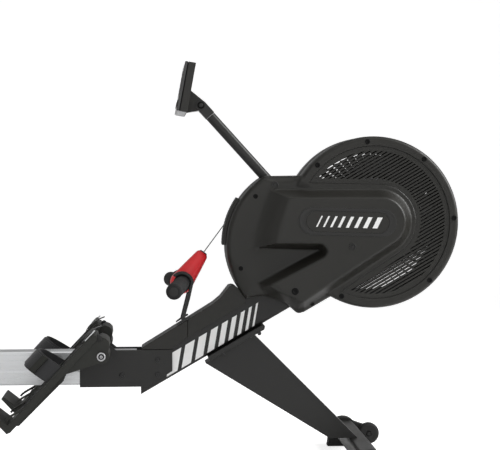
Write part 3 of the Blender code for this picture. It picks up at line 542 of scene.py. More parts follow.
def finishMaterial(name, pattern, dark, pale, rough, bump, settings, values={}):
    material = bpy.data.materials.new(name)
    material.use_nodes = True
    tree = material.node_tree
    shader = tree.nodes["Principled BSDF"]
    group, height, tone = patterns[pattern]
    skin = addNode(tree, "ShaderNodeGroup", node_tree=group)
    for key, value in values.items():
        skin.inputs[key].default_value = value
    colour = addNode(tree, "ShaderNodeMix", {"Factor": skin.outputs[tone]}, data_type="RGBA")
    for socket in colour.inputs:
        if socket.type == "RGBA":
            shade = dark if socket.name == "A" else pale
            socket.default_value = (*(shade if isinstance(shade, tuple) else (shade,) * 3), 1)
    gloss = addNode(tree, "ShaderNodeMapRange", {"Value": skin.outputs[tone], "From Min": 0.3, "From Max": 0.7})
    gloss.inputs["To Min"].default_value, gloss.inputs["To Max"].default_value = rough
    relief = addNode(
        tree, "ShaderNodeBump", {"Height": skin.outputs[height], "Strength": bump[0], "Distance": bump[1]},
    )
    result = [socket for socket in colour.outputs if socket.type == "RGBA"][0]
    tree.links.new(result, shader.inputs["Base Color"])
    tree.links.new(gloss.outputs["Result"], shader.inputs["Roughness"])
    tree.links.new(relief.outputs["Normal"], shader.inputs["Normal"])
    for key, value in settings.items():
        shader.inputs[key].default_value = value
    return material


# The slot that each finish of the frame's own parts belongs to.
slotOf = {
    "casePlastic": "case_plastic", "framePaint": "painted_frame", "pedalPlastic": "pedal_plastic",
    "glossPlastic": "console_gloss", "displayGlass": "display", "rubber": "rubber", "zincSteel": "zinc_steel",
}
mats = {name: finishMaterial(name, *finish) for name, finish in finishes.items()}
makeCamera()
makeStudio()
print("studio and materials ready")

# The fan case. Its two centres and its outlines are the frame's, in (x, z).
case = {
    "fan": (0.900, 0.591), "lobe": (0.744, 0.536), "nose": (0.9125, 0.593),
    "net": 0.0032, "lobeDepth": 0.0715, "ringDepth": 0.0780, "islandDepth": 0.1130,
    "ringRadius": 0.205, "ringStep": 0.004, "rimRound": 0.011, "lobeRound": 0.046, "shoulderRound": 0.024,
    "rimDrop": 0.021, "wall": 0.0025, "beam": (0.644, 0.401), "beamSlope": 30, "mastFoot": (0.650, 0.694),
}


def caseOutline():
    points = [arc(case["fan"], 0.205, 147, -120, 150), [(0.733, 0.3765)]]
    points += [
        arc((0.722, 0.388), 0.014, -60, -135, 5),
        [(0.690, 0.399), (0.659, 0.409), (0.6375, 0.416), (0.605, 0.411)],
    ]
    points += [arc(case["lobe"], 0.195, 221, 122, 80)]
    return spaced(np.concatenate(points), 0.0045)


def grilleOutline():
    return np.concatenate([arc(case["fan"], 0.182, 149, -116, 130), arc(case["nose"], 0.088, -60, 90, 44)])


# The raised panel's borders at its foot, each with the width of its sloping wall.
def islandBorders():
    nose = arc(case["nose"], 0.076, -59, 90, 40)
    return (
        (np.concatenate([[(0.733, 0.386)], nose, [(0.6570, 0.6690)]]), 0.020),
        (np.array([(0.6570, 0.6690), (0.6470, 0.644), (0.6380, 0.6177), (0.6300, 0.592), (0.6235, 0.566),
            (0.6180, 0.5300)]), 0.0370),
        (np.array([(0.6180, 0.5300), (0.766, 0.5275)]), 0.0140),
        (np.array([(0.766, 0.5275), (0.770, 0.5240), (0.766, 0.5210)]), 0.0135),
        (np.array([(0.766, 0.5210), (0.624, 0.448)]), 0.0150),
        (
            np.array(
                [(0.624, 0.448), (0.630, 0.432), (0.662, 0.411), (0.692, 0.400), (0.715, 0.383), (0.733, 0.386)]
            ),
            0.0200,
        ),
    )


# Points put along the longer sides of a closed outline, none further apart than the step.
def spaced(outline, step):
    outline = np.asarray(outline, float)
    pieces = []
    for a, b in zip(outline, np.roll(outline, -1, 0)):
        count = max(1, int(np.ceil(np.linalg.norm(b - a) / step)))
        pieces.append(a + np.arange(count)[:, None] / count * (b - a))
    return np.concatenate(pieces)


# 0 well below 0 and 1 well above 1, straight between, with soft corners.
def softRamp(value, soft=0.10):
    return 0.5 * (np.sqrt(value**2 + soft**2) - np.sqrt((value - 1) ** 2 + soft**2) + 1)


# The case's depth from the middle plane: the lobe's level, plus the ring's step, plus the raised panel
# (the lowest of its walls' ramps, or outside it the nearest one's), less a quarter-round near the rim.
def caseDepth(points, outline):
    fromFan = points - case["fan"]
    fromLobe = points - case["lobe"]
    radius = np.linalg.norm(fromFan, axis=1)
    heading = np.degrees(np.arctan2(fromFan[:, 1], fromFan[:, 0]))
    onRing = ease((heading + 128) / 8) * ease((158 - heading) / 8)
    depth = case["lobeDepth"] + (case["ringDepth"] - case["lobeDepth"]) * onRing * softRamp(
        (case["ringRadius"] + case["ringStep"] / 2 - radius) / case["ringStep"]
    )
    borders = islandBorders()
    loop = np.concatenate([line[:-1] for line, width in borders])
    inside = insideOutline(points, loop)
    ramps = []
    for line, width in borders:
        away = distanceTo(points, line, closed=False) * np.where(inside, 1, -1)
        ramps.append(softRamp(away / width, 0.34 if width > 0.021 else 0.10))
    share = np.where(inside, np.min(ramps, 0), np.max(ramps, 0))
    depth += (case["islandDepth"] - depth) * np.clip(share, 0, 1)
    around = np.degrees(np.arctan2(fromLobe[:, 1], fromLobe[:, 0])) % 360
    crescent = ease((around - 186) / 26) * ease((250 - around) / 22)
    shoulder = ease((126 - around) / 10) * ease((0.722 - points[:, 0]) / 0.02) * (fromLobe[:, 1] > 0)
    rounding = case["rimRound"] + (case["lobeRound"] - case["rimRound"]) * crescent
    rounding = rounding + (case["shoulderRound"] - case["rimRound"]) * shoulder
    short = np.clip(rounding - distanceTo(points, outline), 0, None)
    drop = np.minimum(rounding, case["rimDrop"])
    return depth - drop * (1 - np.sqrt(np.clip(1 - (short / rounding) ** 2, 0, 1)))


# How near the middle plane the rim's wall may come: clear of the beam, the mast and the strap's slot.
def rimEnd(points):
    turn = math.radians(case["beamSlope"])
    along = (points - case["beam"]) @ np.array([math.cos(turn), math.sin(turn)])
    lift = (points - case["beam"]) @ np.array([-math.sin(turn), math.cos(turn)])
    end = np.where((np.abs(lift) < 0.047) & (along < 0.12), 0.0335, 0.0002)
    end = np.where(np.linalg.norm(points - case["mastFoot"], axis=1) < 0.019, 0.0140, end)
    around = np.degrees(np.arctan2(points[:, 1] - case["lobe"][1], points[:, 0] - case["lobe"][0])) % 360
    onSlot = (around > 146) & (around < 168) & (points[:, 0] < 0.60)
    return np.where(onSlot, 0.0125, end)


def makeCovers():
    outline, window = caseOutline(), grilleOutline()
    wallTop = arc(case["nose"], 0.056, -59, 90, 36)
    points, triangles = fillOutlines([outline, window], [wallTop], case["net"])
    middle = points[triangles].mean(1)
    keep = insideOutline(middle, outline) & ~insideOutline(middle, window)
    points, triangles = used(points, triangles[keep])
    depth = caseDepth(points, outline)
    count = len(points)
    border = borderEdges(triangles)
    rim = border[distanceTo(points[border[:, 0]], outline) < 1e-4]
    firsts, seconds = rim[:, 0], rim[:, 1]
    order = np.unique(rim)
    slots = np.full(count, -1)
    slots[order] = np.arange(len(order))
    end = rimEnd(points[order])
    rows = [depth[order] * (1 - t) + end * t for t in (0.35, 0.7, 1.0)]
    faces = triangles.tolist()
    starts = [None] + [count + k * len(order) for k in range(3)]

    def at(row, index):
        return index if row == 0 else starts[row] + slots[index]

    for k in range(3):
        faces += np.stack([at(k, seconds), at(k, firsts), at(k + 1, firsts), at(k + 1, seconds)], 1).tolist()
    flat = np.concatenate([points] + [points[order]] * 3)
    deep = np.concatenate([depth] + rows)
    for sideName, side in sides:
        vertices = np.stack([flat[:, 0], side * deep, flat[:, 1]], 1)
        sideFaces = faces if side < 0 else [f[::-1] for f in faces]
        cover = newObject("case_" + sideName, vertices, sideFaces, smooth=50)
        solid = cover.modifiers.new("wall", "SOLIDIFY")
        solid.thickness = case["wall"]
        solid.offset = -1
        solid.use_even_offset = True
        finishPiece(cover, "casePlastic", "root", "case_plastic", "cover_" + sideName)


grille = {
    "gap": 0.0008, "border": 0.0115, "pitch": 0.00736, "bar": 0.0045, "slant": 30, "low": 0.0700,
    "high": 0.0762,
}


# A flat plate with slanted slots: every bar's two edges are straight lines clipped to the inner border,
# and the triangles that lie between bars are left out.
def makeGrilles():
    outline = inset(grilleOutline(), grille["gap"])
    field = inset(grilleOutline(), grille["border"])
    turn = math.radians(grille["slant"])
    alongBar = np.array([math.cos(turn), math.sin(turn)])
    acrossBar = np.array([-math.sin(turn), math.cos(turn)])
    heights = (field - case["fan"]) @ acrossBar
    lines = []
    low, high = heights.min(), heights.max()
    for k in range(int((high - low) / grille["pitch"]) + 2):
        for edge in (0, grille["bar"]):
            level = low + k * grille["pitch"] + edge
            following = np.roll(heights, -1)
            crosses = (heights > level) != (following > level)
            share = ((level - heights) / np.where(following == heights, 1, following - heights))[crosses]
            start, stop = field[crosses], np.roll(field, -1, 0)[crosses]
            hits = start + share[:, None] * (stop - start)
            hits = hits[np.argsort(hits @ alongBar)]
            lines += [np.array([hits[i], hits[i + 1]]) for i in range(0, len(hits) - 1, 2)]
    points, triangles = fillOutlines([outline, field], lines, 0.5)
    middle = points[triangles].mean(1)
    keep = insideOutline(middle, outline)
    phase = np.mod((middle - case["fan"]) @ acrossBar - low, grille["pitch"])
    opening = insideOutline(middle, field) & (phase > grille["bar"])
    points, triangles = used(points, triangles[keep & ~opening])
    # Behind each plate a seat reaches under the case's edge, so that no light passes round it.
    reach = inset(grilleOutline(), -0.0035)
    seatPoints, seatTriangles = fillOutlines([reach, field], [], 0.5)
    seatMiddle = seatPoints[seatTriangles].mean(1)
    ringed = insideOutline(seatMiddle, reach) & ~insideOutline(seatMiddle, field)
    seatPoints, seatTriangles = used(seatPoints, seatTriangles[ringed])
    for sideName, side in sides:
        ends = sorted((side * 0.0660, side * 0.0697))
        seat = plateFrom("grille_seat_" + sideName, seatPoints, seatTriangles, ends[0], ends[1])
        finishPiece(seat, "casePlastic", "root", "case_plastic")
        ends = sorted((side * grille["low"], side * grille["high"]))
        plate = plateFrom("slotted_grille_" + sideName, points, triangles, ends[0], ends[1])
        finishPiece(plate, "casePlastic", "root", "case_plastic", "grille_" + sideName)


badge = {
    "centre": (0.8315, 0.5925), "turn": -1.7, "outer": (0.232, 0.065), "inner": (0.197, 0.050),
    "shares": (0.0, 0.02, 0.10, 0.90, 0.98, 1.0, 1.0), "rises": (
        -0.0010, 0.0006, 0.0011, 0.0011, 0.0006, -0.0002, -0.0010,
    ),
    "markLong": 0.150, "markTall": 0.026, "markLean": 0.012, "markGap": 0.0125,
    "markWidths": (0.0035, 0.0045, 0.0055, 0.0065, 0.0075, 0.0085, 0.0100, 0.0115),
}


# Flat (x, z) points turned about the badge's centre.
def onBadge(points):
    turn = math.radians(badge["turn"])
    spin = np.array([[math.cos(turn), math.sin(turn)], [-math.sin(turn), math.cos(turn)]])
    return np.asarray(points) @ spin + badge["centre"]


def makeBadges():
    top = case["islandDepth"]
    # The frame is a stadium ring: shares run from its outer outline to its inner one, and rises lift it.
    outer, inner = stadium(*badge["outer"], 24), stadium(*badge["inner"], 24)
    shares, rises = np.array(badge["shares"]), np.array(badge["rises"])
    flat = outer[None] * (1 - shares[:, None, None]) + inner[None] * shares[:, None, None]
    spot = onBadge(flat.reshape(-1, 2)).reshape(flat.shape)
    plateLine = onBadge(inset(inner, 0.0010))
    # The mark is a row of slanted bars that widen towards the front.
    widths, tall = np.array(badge["markWidths"]), badge["markTall"]
    starts = -badge["markLong"] / 2 + np.concatenate([[0], np.cumsum(widths + badge["markGap"])[:-1]])
    bars = [
        onBadge(slantBar(start, width, -tall / 2, tall / 2, badge["markLean"]))
        for start, width in zip(starts, widths)
    ]
    for sideName, side in sides:
        depth = np.broadcast_to(side * (top + rises)[:, None], spot.shape[:2])
        grid = np.stack([spot[:, :, 0], depth, spot[:, :, 1]], -1)
        ring = gridMesh("badge_ring_" + sideName, grid, wrapRows=True, wrapColumns=True, smooth=30)
        finishPiece(ring, "framePaint", "root", "case_plastic")
        ends = sorted((side * (top - 0.0010), side * (top + 0.0005)))
        plate = prismPiece("badge_plate_" + sideName, plateLine, ends[0], ends[1], 0.0004)
        finishPiece(plate, "casePlastic", "root", "case_plastic")
        mark = boxesOn("badge_mark_" + sideName, bars, side, top + 0.0003, top + 0.0009)
        finishPiece(mark, "whitePrint", "root", "case_plastic")


# Screws on the case: (x, z, head radius, kind), and a ring of six in the fan's rim.
rimScrews = {"radius": 0.1925, "head": 0.0062, "headings": (135, 95, 51.5, 3, -46, -114)}
caseScrews = [
    (0.617, 0.653, 0.0055, "recess"), (0.582, 0.482, 0.0055, "recess"), (0.752, 0.397, 0.0050, "recess"),
]
caseScrews += [(0.663, 0.680, 0.0085, "cap"), (0.707, 0.430, 0.0085, "recess"), (0.843, 0.535, 0.0080, "cap")]
for heading in rimScrews["headings"]:
    x, z = arc(case["fan"], rimScrews["radius"], heading, heading, 0)[0]
    caseScrews.append((x, z, rimScrews["head"], "recess"))


# A screw head: (radius, along) points of its rim, chamfer and shallow socket.
def screwProfile(radius, kind):
    shares = (1, 1, 0.92, 0.72, 0.64, 0.42, 0.36, 0.05) if kind == "cap" else (1, 1, 0.92, 0.55, 0.46, 0.05)
    cap = (-0.004, 0.0008, 0.0016, 0.0016, 0.0004, 0.0003, 0.0012, 0.0013)
    recess = (-0.004, 0.0005, 0.0010, 0.0011, 0.0004, 0.0003)
    return np.stack([radius * np.array(shares), cap if kind == "cap" else recess], 1)


def makeScrews():
    depths = caseDepth(np.array([(x, z) for x, z, radius, kind in caseScrews]), caseOutline()) + 0.0003
    for sideName, side in sides:
        for number, (x, z, radius, kind) in enumerate(caseScrews):
            centre = (x, side * depths[number], z)
            head = disc(
                f"case_screw_{sideName}_{number}", screwProfile(radius, kind), centre, (0, side, 0), 24, 30,
            )
            look = ("deepBlack", "zinc_steel") if kind == "recess" else ("framePaint", "case_plastic")
            finishPiece(head, look[0], "root", look[1])


fan = {
    "count": 52, "inner": 0.084, "outer": 0.163, "half": 0.0295, "skew": 0.86, "thick": 0.0011, "disc": 0.118,
    "hub": 0.030, "bore": 0.0085,
}


# The fan: thin blades that lean as they cross the wheel (their turn grows with y), a web and a hub.
def makeFanWheel():
    radii = np.linspace(fan["inner"], fan["outer"], 4)
    spans = np.linspace(-fan["half"], fan["half"], 5)
    r, y = np.meshgrid(radii, spans, indexing="ij")
    sheets, faces, start = [], [], 0
    quads = gridFaces(4, 5)
    for k in range(fan["count"]):
        heading = 2 * math.pi * k / fan["count"] + fan["skew"] * y + 0.35 * (r - fan["inner"]) / fan["outer"]
        for offset in (-1, 1):
            shifted = heading + offset * fan["thick"] / 2 / r
            x = case["fan"][0] + r * np.cos(shifted)
            z = case["fan"][1] + r * np.sin(shifted)
            sheets.append(np.stack([x, y, z], -1).reshape(-1, 3))
            faces += (quads + start)[:, ::-1 if offset > 0 else 1].tolist()
            start += 20
        edge = np.concatenate(
            [np.arange(0, 5), np.arange(9, 20, 5), np.arange(18, 14, -1), np.arange(10, 0, -5)]
        )
        after = np.roll(edge, -1)
        low = start - 40
        faces += np.stack([edge + low, after + low, after + low + 20, edge + low + 20], 1).tolist()
    blades = newObject("fan_blades", np.concatenate(sheets), faces, smooth=30)
    outward(blades)
    finishPiece(blades, "casePlastic", "fan", "case_plastic")
    half = np.array(
        [(fan["bore"], 0.0295), (fan["hub"], 0.0295), (fan["hub"] + 0.003, 0.004), (fan["disc"], 0.0018)]
    )
    web = np.concatenate([half * (1, -1), half[::-1]])
    hub = lathe("fan_hub", web, (case["fan"][0], 0, case["fan"][1]), steps=64)
    roundEdges(hub, 0.0008)
    finishPiece(hub, "casePlastic", "fan", "case_plastic", "fan_wheel")


# A flat ring between the two halves that closes the gap round the fan.
def makeDuct():
    profile = [(0.1650, -0.003), (0.1800, -0.003), (0.1800, 0.003), (0.1650, 0.003)]
    duct = lathe("fan_duct", profile, (case["fan"][0], 0, case["fan"][1]), steps=96)
    finishPiece(duct, "casePlastic", "root", "case_plastic")


makeCovers()
makeDuct()
makeGrilles()
makeBadges()
makeScrews()
makeFanWheel()
print("case, grilles, badges and fan ready")

# The pull handle: a red core round the bar, two foam grips, and the strap up to the case.
handle = {
    "bar": (0.443, 0.445), "nose": (0.497, 0.518), "end": (0.420, 0.225, 0.4385), "gripFrom": 0.045,
    "coreHalf": 0.0275, "noseHalf": 0.0135, "deepHalf": 0.031, "narrowing": 0.017, "squareness": 0.78,
    "mouth": (
        (0.0085, -0.002), (0.0098, -0.0005), (0.0098, 0.0025), (0.0085, 0.004), (0.006, 0.004),
        (0.0058, -0.002),
    ),
}
grip = {
    "radius": 0.0176, "full": 0.0010, "flare": 0.0009, "ring": 0.0004, "rings": 90,
    "flange": ((0.0205, -0.0125), (0.0213, -0.0118), (0.0213, -0.0060), (0.0205, -0.0052)),
    "tip": ((0.0176, -0.003), (0.0160, -0.001), (0.0125, -0.0002)),
    "plug": ((0.0105, -0.002), (0.0105, -0.0002), (0.0098, 0), (0.003, 0)),
}
strap = {"width": 0.020, "thick": 0.0016, "length": 0.188}


# UV in metres from a grid's own distances: u along the rows, v along the columns.
def layUv(obj, grid):
    u = np.concatenate([[0], np.cumsum(np.linalg.norm(np.diff(grid[:, 0], axis=0), axis=1))])
    v = np.concatenate([[0], np.cumsum(np.linalg.norm(np.diff(grid[0], axis=0), axis=1))])
    pairs = np.stack(np.meshgrid(u, v, indexing="ij"), -1).reshape(-1, 2)
    layer = obj.data.uv_layers.new(name="lay")
    index = np.empty(len(obj.data.loops), int)
    obj.data.loops.foreach_get("vertex_index", index)
    layer.data.foreach_set("uv", pairs[index].ravel())


# A band: a thin rounded section carried along an (x, y, z) path, wide towards the given side.
def band(name, path, wide, width, thick, uv=True):
    path = np.asarray(path, float)
    wide = np.asarray(wide, float)
    wide = wide / np.linalg.norm(wide)
    ahead = np.gradient(path, axis=0)
    ahead /= np.linalg.norm(ahead, axis=1)[:, None]
    rise = np.cross(ahead, wide)
    rise /= np.linalg.norm(rise, axis=1)[:, None]
    w = width / 2 * np.array([-1.0, -0.985, -0.9, 0.9, 0.985, 1.0, 1.0, 0.985, 0.9, -0.9, -0.985, -1.0])
    t = thick / 2 * np.array([0.3, 0.85, 1.0, 1.0, 0.85, 0.3, -0.3, -0.85, -1.0, -1.0, -0.85, -0.3])
    grid = path[:, None] + w[None, :, None] * wide + t[None, :, None] * rise[:, None]
    obj = gridMesh(name, grid, wrapColumns=True, caps=True, smooth=50)
    if uv:
        layUv(obj, grid)
    return obj


def makeHandle():
    bar, nose = np.array(handle["bar"]), np.array(handle["nose"])
    run = np.linalg.norm(nose - bar)
    ahead = (nose - bar) / run
    aside = np.array([-ahead[1], ahead[0]])
    # The core's sections are squarish ovals: the half width is the bar's circle behind it, then a taper that
    # rounds off over the nose; the half depth across the machine narrows too.
    half = handle["coreHalf"]
    back = -half * np.cos(np.linspace(0.06, math.pi / 2, 16))
    front = np.linspace(0, run, 34)[1:]
    s = np.concatenate([back, front])
    taper = half + (handle["noseHalf"] - half) * np.clip(s / run, 0, 1) ** 1.15
    nosing = np.sqrt(np.clip(1 - (np.clip(s - (run - 0.008), 0, None) / 0.0085) ** 2, 0.01, 1))
    wide = np.where(s < 0, np.sqrt(np.clip(half**2 - s**2, 1e-8, None)), taper * nosing)
    deep = (
        handle["deepHalf"] - handle["narrowing"] * np.clip(s / run, 0, 1) ** 1.3
    ) * np.where(s < 0, np.clip(wide / half, 0, 1) ** 0.4, nosing)
    turn = np.linspace(0, 2 * math.pi, 44, endpoint=False)
    c, d = (np.sign(wave) * np.abs(wave) ** handle["squareness"] for wave in (np.cos(turn), np.sin(turn)))
    flat = bar + s[:, None, None] * ahead + (wide[:, None] * c[None])[:, :, None] * aside
    grid = np.stack([flat[:, :, 0], deep[:, None] * d[None], flat[:, :, 1]], -1)
    core = gridMesh("handle_core_shell", grid, wrapColumns=True, caps=True, smooth=60)
    finishPiece(core, "redPlastic", "handle", "red_plastic", "handle_core")
    # A dark lip where the strap comes out.
    lip = [nose[0] - 0.0035 * ahead[0], 0.0, nose[1] - 0.0035 * ahead[1]]
    mouth = lathe("strap_mouth", handle["mouth"], lip, (ahead[0], 0, ahead[1]), 28)
    finishPiece(mouth, "blackBolt", "handle", "rubber")
    for sideName, side in sides:
        start = np.array([bar[0], side * handle["gripFrom"], bar[1]])
        finish = np.array([handle["end"][0], side * handle["end"][1], handle["end"][2]])
        length = np.linalg.norm(finish - start)
        axis = (finish - start) / length
        # The grip: a flange, a slightly full middle with fine rings cut in it, a flare, and a rounded end.
        along = np.linspace(-0.004, length - 0.006, grip["rings"])
        share = np.clip(along / length, 0, 1)
        radius = grip["radius"] + grip["full"] * np.sin(math.pi * share) + grip["flare"] * ease(
            (share - 0.86) / 0.1
        )
        radius = radius - grip["ring"] * (np.arange(grip["rings"]) % 2)
        middle = np.stack([radius, along], 1)
        profile = np.concatenate([grip["flange"], middle, np.array(grip["tip"]) + (0, length)])
        foam = disc("grip_foam_" + sideName, profile, start, axis, 40, 40)
        finishPiece(foam, "gripFoam", "handle", "grip_foam", "grip_" + sideName)
        plug = disc("grip_plug_" + sideName, np.array(grip["plug"]) + (0, length), start, axis, 32, 30)
        finishPiece(plug, "framePaint", "handle", "painted_frame")
    begin = nose + 0.001 * ahead
    stop = nose + strap["length"] * ahead
    share = np.linspace(0, 1, 24)[:, None]
    flat = begin + share * (stop - begin)
    path = np.stack([flat[:, 0], np.zeros(24), flat[:, 1]], 1)
    tape = band("strap_tape", path, (0, 1, 0), strap["width"], strap["thick"])
    finishPiece(tape, "strapTape", "handle", "webbing", "pull_strap")


makeHandle()
print("handle ready")

# Points on the beam: how far along its slope, and how far over its centre line.
beam = {"centre": (0.644, 0.401), "slope": 30, "face": 0.0321, "half": 0.044}


def beamPoints(points):
    turn = math.radians(beam["slope"])
    ahead, over = np.array([math.cos(turn), math.sin(turn)]), np.array([-math.sin(turn), math.cos(turn)])
    points = np.asarray(points, float)
    return np.asarray(beam["centre"]) + points[:, :1] * ahead + points[:, 1:] * over


# The print on the beam: slanted bars, wide to narrow, cut to a band below the shroud.
beamPrint = {"start": -0.296, "low": -0.0375, "high": 0.0060, "lean": 0.036,
    "widths": (0.030, 0.026, 0.0225, 0.0195, 0.0165, 0.0135, 0.011, 0.0085, 0.006), "gap": 0.0112}


def makeBeamPrints():
    widths = np.array(beamPrint["widths"])
    starts = beamPrint["start"] + np.concatenate([[0], np.cumsum(widths + beamPrint["gap"])[:-1]])
    low, high, lean = beamPrint["low"], beamPrint["high"], beamPrint["lean"]
    bars = [beamPoints(slantBar(start, width, low, high, lean)) for start, width in zip(starts, widths)]
    for sideName, side in sides:
        face = beam["face"]
        stripes = boxesOn("beam_stripes_" + sideName, bars, side, face - 0.0006, face + 0.00025)
        finishPiece(stripes, "whitePrint", "root", "case_plastic")


# Bolts on the frame. The receiver's are (x, z); the flange's nuts are (along the beam, over it). The pivot's
# washer, cap and screw are turned from (radius, along the axle) points.
bolts = {
    "receiver": ((0.300, 0.226), (0.385, 0.226), (0.385, 0.262)), "receiverFace": 0.037, "radius": 0.0065,
    "flange": ((-0.150, -0.0580), (-0.0520, -0.0580)), "nut": 0.0052, "nutFrom": 0.0445, "nutTo": 0.0480,
    "pivot": (0.256, 0.290), "pivotFace": 0.1990,
    "washer": (
        (0.0062, -0.0035), (0.0098, -0.0035), (0.0098, 0.0006), (0.0090, 0.0012), (0.0072, 0.0012),
        (0.0062, 0.0004),
    ),
    "cap": ((0.0062, -0.003), (0.0062, 0.0010), (0.0054, 0.0014), (0.0006, 0.0014)),
    "screw": (
        (0.0036, 0.0010), (0.0036, 0.0018), (0.0030, 0.0022), (0.0014, 0.0022), (0.0012, 0.0012),
        (0.0003, 0.0011),
    ),
}


# A round head with a socket: (part of the radius, part of the radius along the bolt) points.
def boltHead(name, centre, axis, radius):
    shares = np.array([(1, 0), (1, 0), (0.93, 0.22), (0.70, 0.34), (0.46, 0.36), (0.42, 0.05), (0.04, 0.0)])
    profile = shares * radius
    profile[:2, 1] = -0.003, 0.0004
    finishPiece(disc(name, profile, centre, axis, 28, 28), "blackBolt", "root", "zinc_steel")


def hexagon(centre, radius):
    angle = np.radians(np.arange(0, 360, 60))
    return np.stack([centre[0] + radius * np.cos(angle), centre[1] + radius * np.sin(angle)], 1)


def makeFrameDetails():
    for sideName, side in sides:
        for number, (x, z) in enumerate(bolts["receiver"]):
            place = (x, side * bolts["receiverFace"], z)
            boltHead(f"receiver_bolt_{sideName}_{number}", place, (0, side, 0), bolts["radius"])
        for number, centre in enumerate(beamPoints(bolts["flange"])):
            outline = hexagon(centre, bolts["nut"])
            name = f"flange_nut_{sideName}_{number}"
            nut = prismPiece(name, outline, side * bolts["nutFrom"], side * bolts["nutTo"], 0.0008)
            finishPiece(nut, "blackBolt", "root", "zinc_steel")
        # The axle's ends: a silver washer ring, a dark cap and a small silver screw.
        pivot = (bolts["pivot"][0], side * bolts["pivotFace"], bolts["pivot"][1])
        washer = lathe("pivot_washer_" + sideName, bolts["washer"], pivot, (0, side, 0), 40)
        finishPiece(washer, "zincSteel", "root", "zinc_steel")
        cap = disc("pivot_cap_" + sideName, bolts["cap"], pivot, (0, side, 0), 32)
        finishPiece(cap, "deepBlack", "root", "rubber")
        screw = disc("pivot_screw_" + sideName, bolts["screw"], pivot, (0, side, 0), 24)
        finishPiece(screw, "zincSteel", "root", "zinc_steel")


# The section across the band is (y, lift) points, and its foot lies on one radius inside the case's rim.
bezel = {
    "from": 146, "to": 180, "steps": 137, "radius": 0.2030, "rib": 0.0010, "foot": 0.1957,
    "y": (-0.030, -0.0285, -0.0120, -0.0120, 0.0120, 0.0120, 0.0285, 0.030),
    "lift": (-0.0030, 0.0, 0.0, -0.0050, -0.0050, 0.0, 0.0, -0.0030),
}


# The strap's entry: an arc band round the lobe with a row of small ribs across it.
def makeBezel():
    heading = np.radians(np.linspace(bezel["from"], bezel["to"], bezel["steps"]))[:, None]
    ribs = bezel["rib"] * (np.arange(bezel["steps"]) % 4 < 2)
    top = (bezel["radius"] + ribs)[:, None] + np.array(bezel["lift"])
    radius = np.concatenate([top, np.full(top.shape, bezel["foot"])], 1)
    y = np.array(bezel["y"] + bezel["y"][::-1])
    x, z = case["lobe"][0] + radius * np.cos(heading), case["lobe"][1] + radius * np.sin(heading)
    grid = np.stack([x, np.broadcast_to(y, radius.shape), z], -1)
    entry = gridMesh("strap_entry", grid, wrapColumns=True, caps=True, smooth=30)
    finishPiece(entry, "casePlastic", "root", "case_plastic", "strap_bezel")


makeBeamPrints()
makeFrameDetails()
makeBezel()
print("frame details ready")

# The footplates: (run down the plate from its top end, lift off its sole face) to (x, z).
pedal = {
    "top": (0.2394, 0.3419), "slope": 46.8, "inner": 0.068, "outer": 0.190, "middle": 0.129, "length": 0.297,
}
footStrap = {"half": 0.0575, "rise": 0.0660, "run": 0.1290, "width": 0.050, "thick": 0.0024, "lean": 0.012}


def pedalPoints(run, lift):
    turn = math.radians(pedal["slope"])
    run, lift = np.asarray(run, float), np.asarray(lift, float)
    x = pedal["top"][0] - run * math.cos(turn) - lift * math.sin(turn)
    z = pedal["top"][1] - run * math.sin(turn) + lift * math.cos(turn)
    return x, z


tread = {
    "from": 0.040, "to": 0.249, "steps": 209, "pitch": 0.0145, "height": 0.0016, "edge": 0.012,
    "strapHalf": 0.030,
}


# Ridges across the plate: a flat-topped wave over its run, level under the strap, and closed underneath.
def makeTread(sideName, side):
    run = np.linspace(tread["from"], tread["to"], tread["steps"])
    wave = ease(1.6 * np.sin((run - tread["from"]) / tread["pitch"] * 2 * math.pi) + 0.3)
    gap = ease((np.abs(run - footStrap["run"]) - tread["strapHalf"]) / 0.004)
    lift = 0.0004 + tread["height"] * wave * gap
    lift[[0, -1]] = 0.0
    across = side * np.linspace(pedal["inner"] + tread["edge"], pedal["outer"] - tread["edge"], 6)
    lifts = np.concatenate([np.repeat(lift[:, None], 6, 1), np.full((len(run), 6), -0.001)], 1)
    x, z = pedalPoints(run[:, None], lifts)
    grid = np.stack([x, np.broadcast_to(np.concatenate([across, across[::-1]]), x.shape), z], -1)
    ridges = gridMesh("pedal_tread_" + sideName, grid, wrapColumns=True, caps=True, smooth=40)
    finishPiece(ridges, "rubber", "foot_" + sideName, "rubber")


# A low rail along each side of the plate, with rounded ends.
def makeEdges(sideName, side):
    for label, y in (("inner", pedal["inner"] + 0.0030), ("outer", pedal["outer"] - 0.0030)):
        share = np.linspace(0, 1, 40)
        run = 0.006 + share * (pedal["length"] - 0.024)
        lift = 0.0014 * np.sin(math.pi * share) ** 0.35 + 0.012 * ease((share - 0.80) / 0.20)
        x, z = pedalPoints(run, lift - 0.001)
        path = np.stack([x, np.full(40, side * y), z], 1)
        lip = sweepAlong(
            f"pedal_rim_{label}_{sideName}", path, roundRect(0.0050, 0.0080, 0.0020, 3), up=(0, 1, 0),
        )
        finishPiece(lip, "pedalPlastic", "foot_" + sideName, "pedal_plastic")


# The strap over the foot: an arch whose height is a rounded power of the sine, leaning to the heel as it rises.
def archPath(side, start, end, extra, steps=48):
    angle = np.radians(np.linspace(start, end, steps))
    y = side * (
        pedal["middle"] + (footStrap["half"] + extra) * np.sign(np.cos(angle)) * np.abs(np.cos(angle)) ** 0.85
    )
    rise = (footStrap["rise"] + extra) * np.abs(np.sin(angle)) ** 0.9
    x, z = pedalPoints(footStrap["run"] + footStrap["lean"] * rise / footStrap["rise"], rise)
    return np.stack([x, y, z], 1)


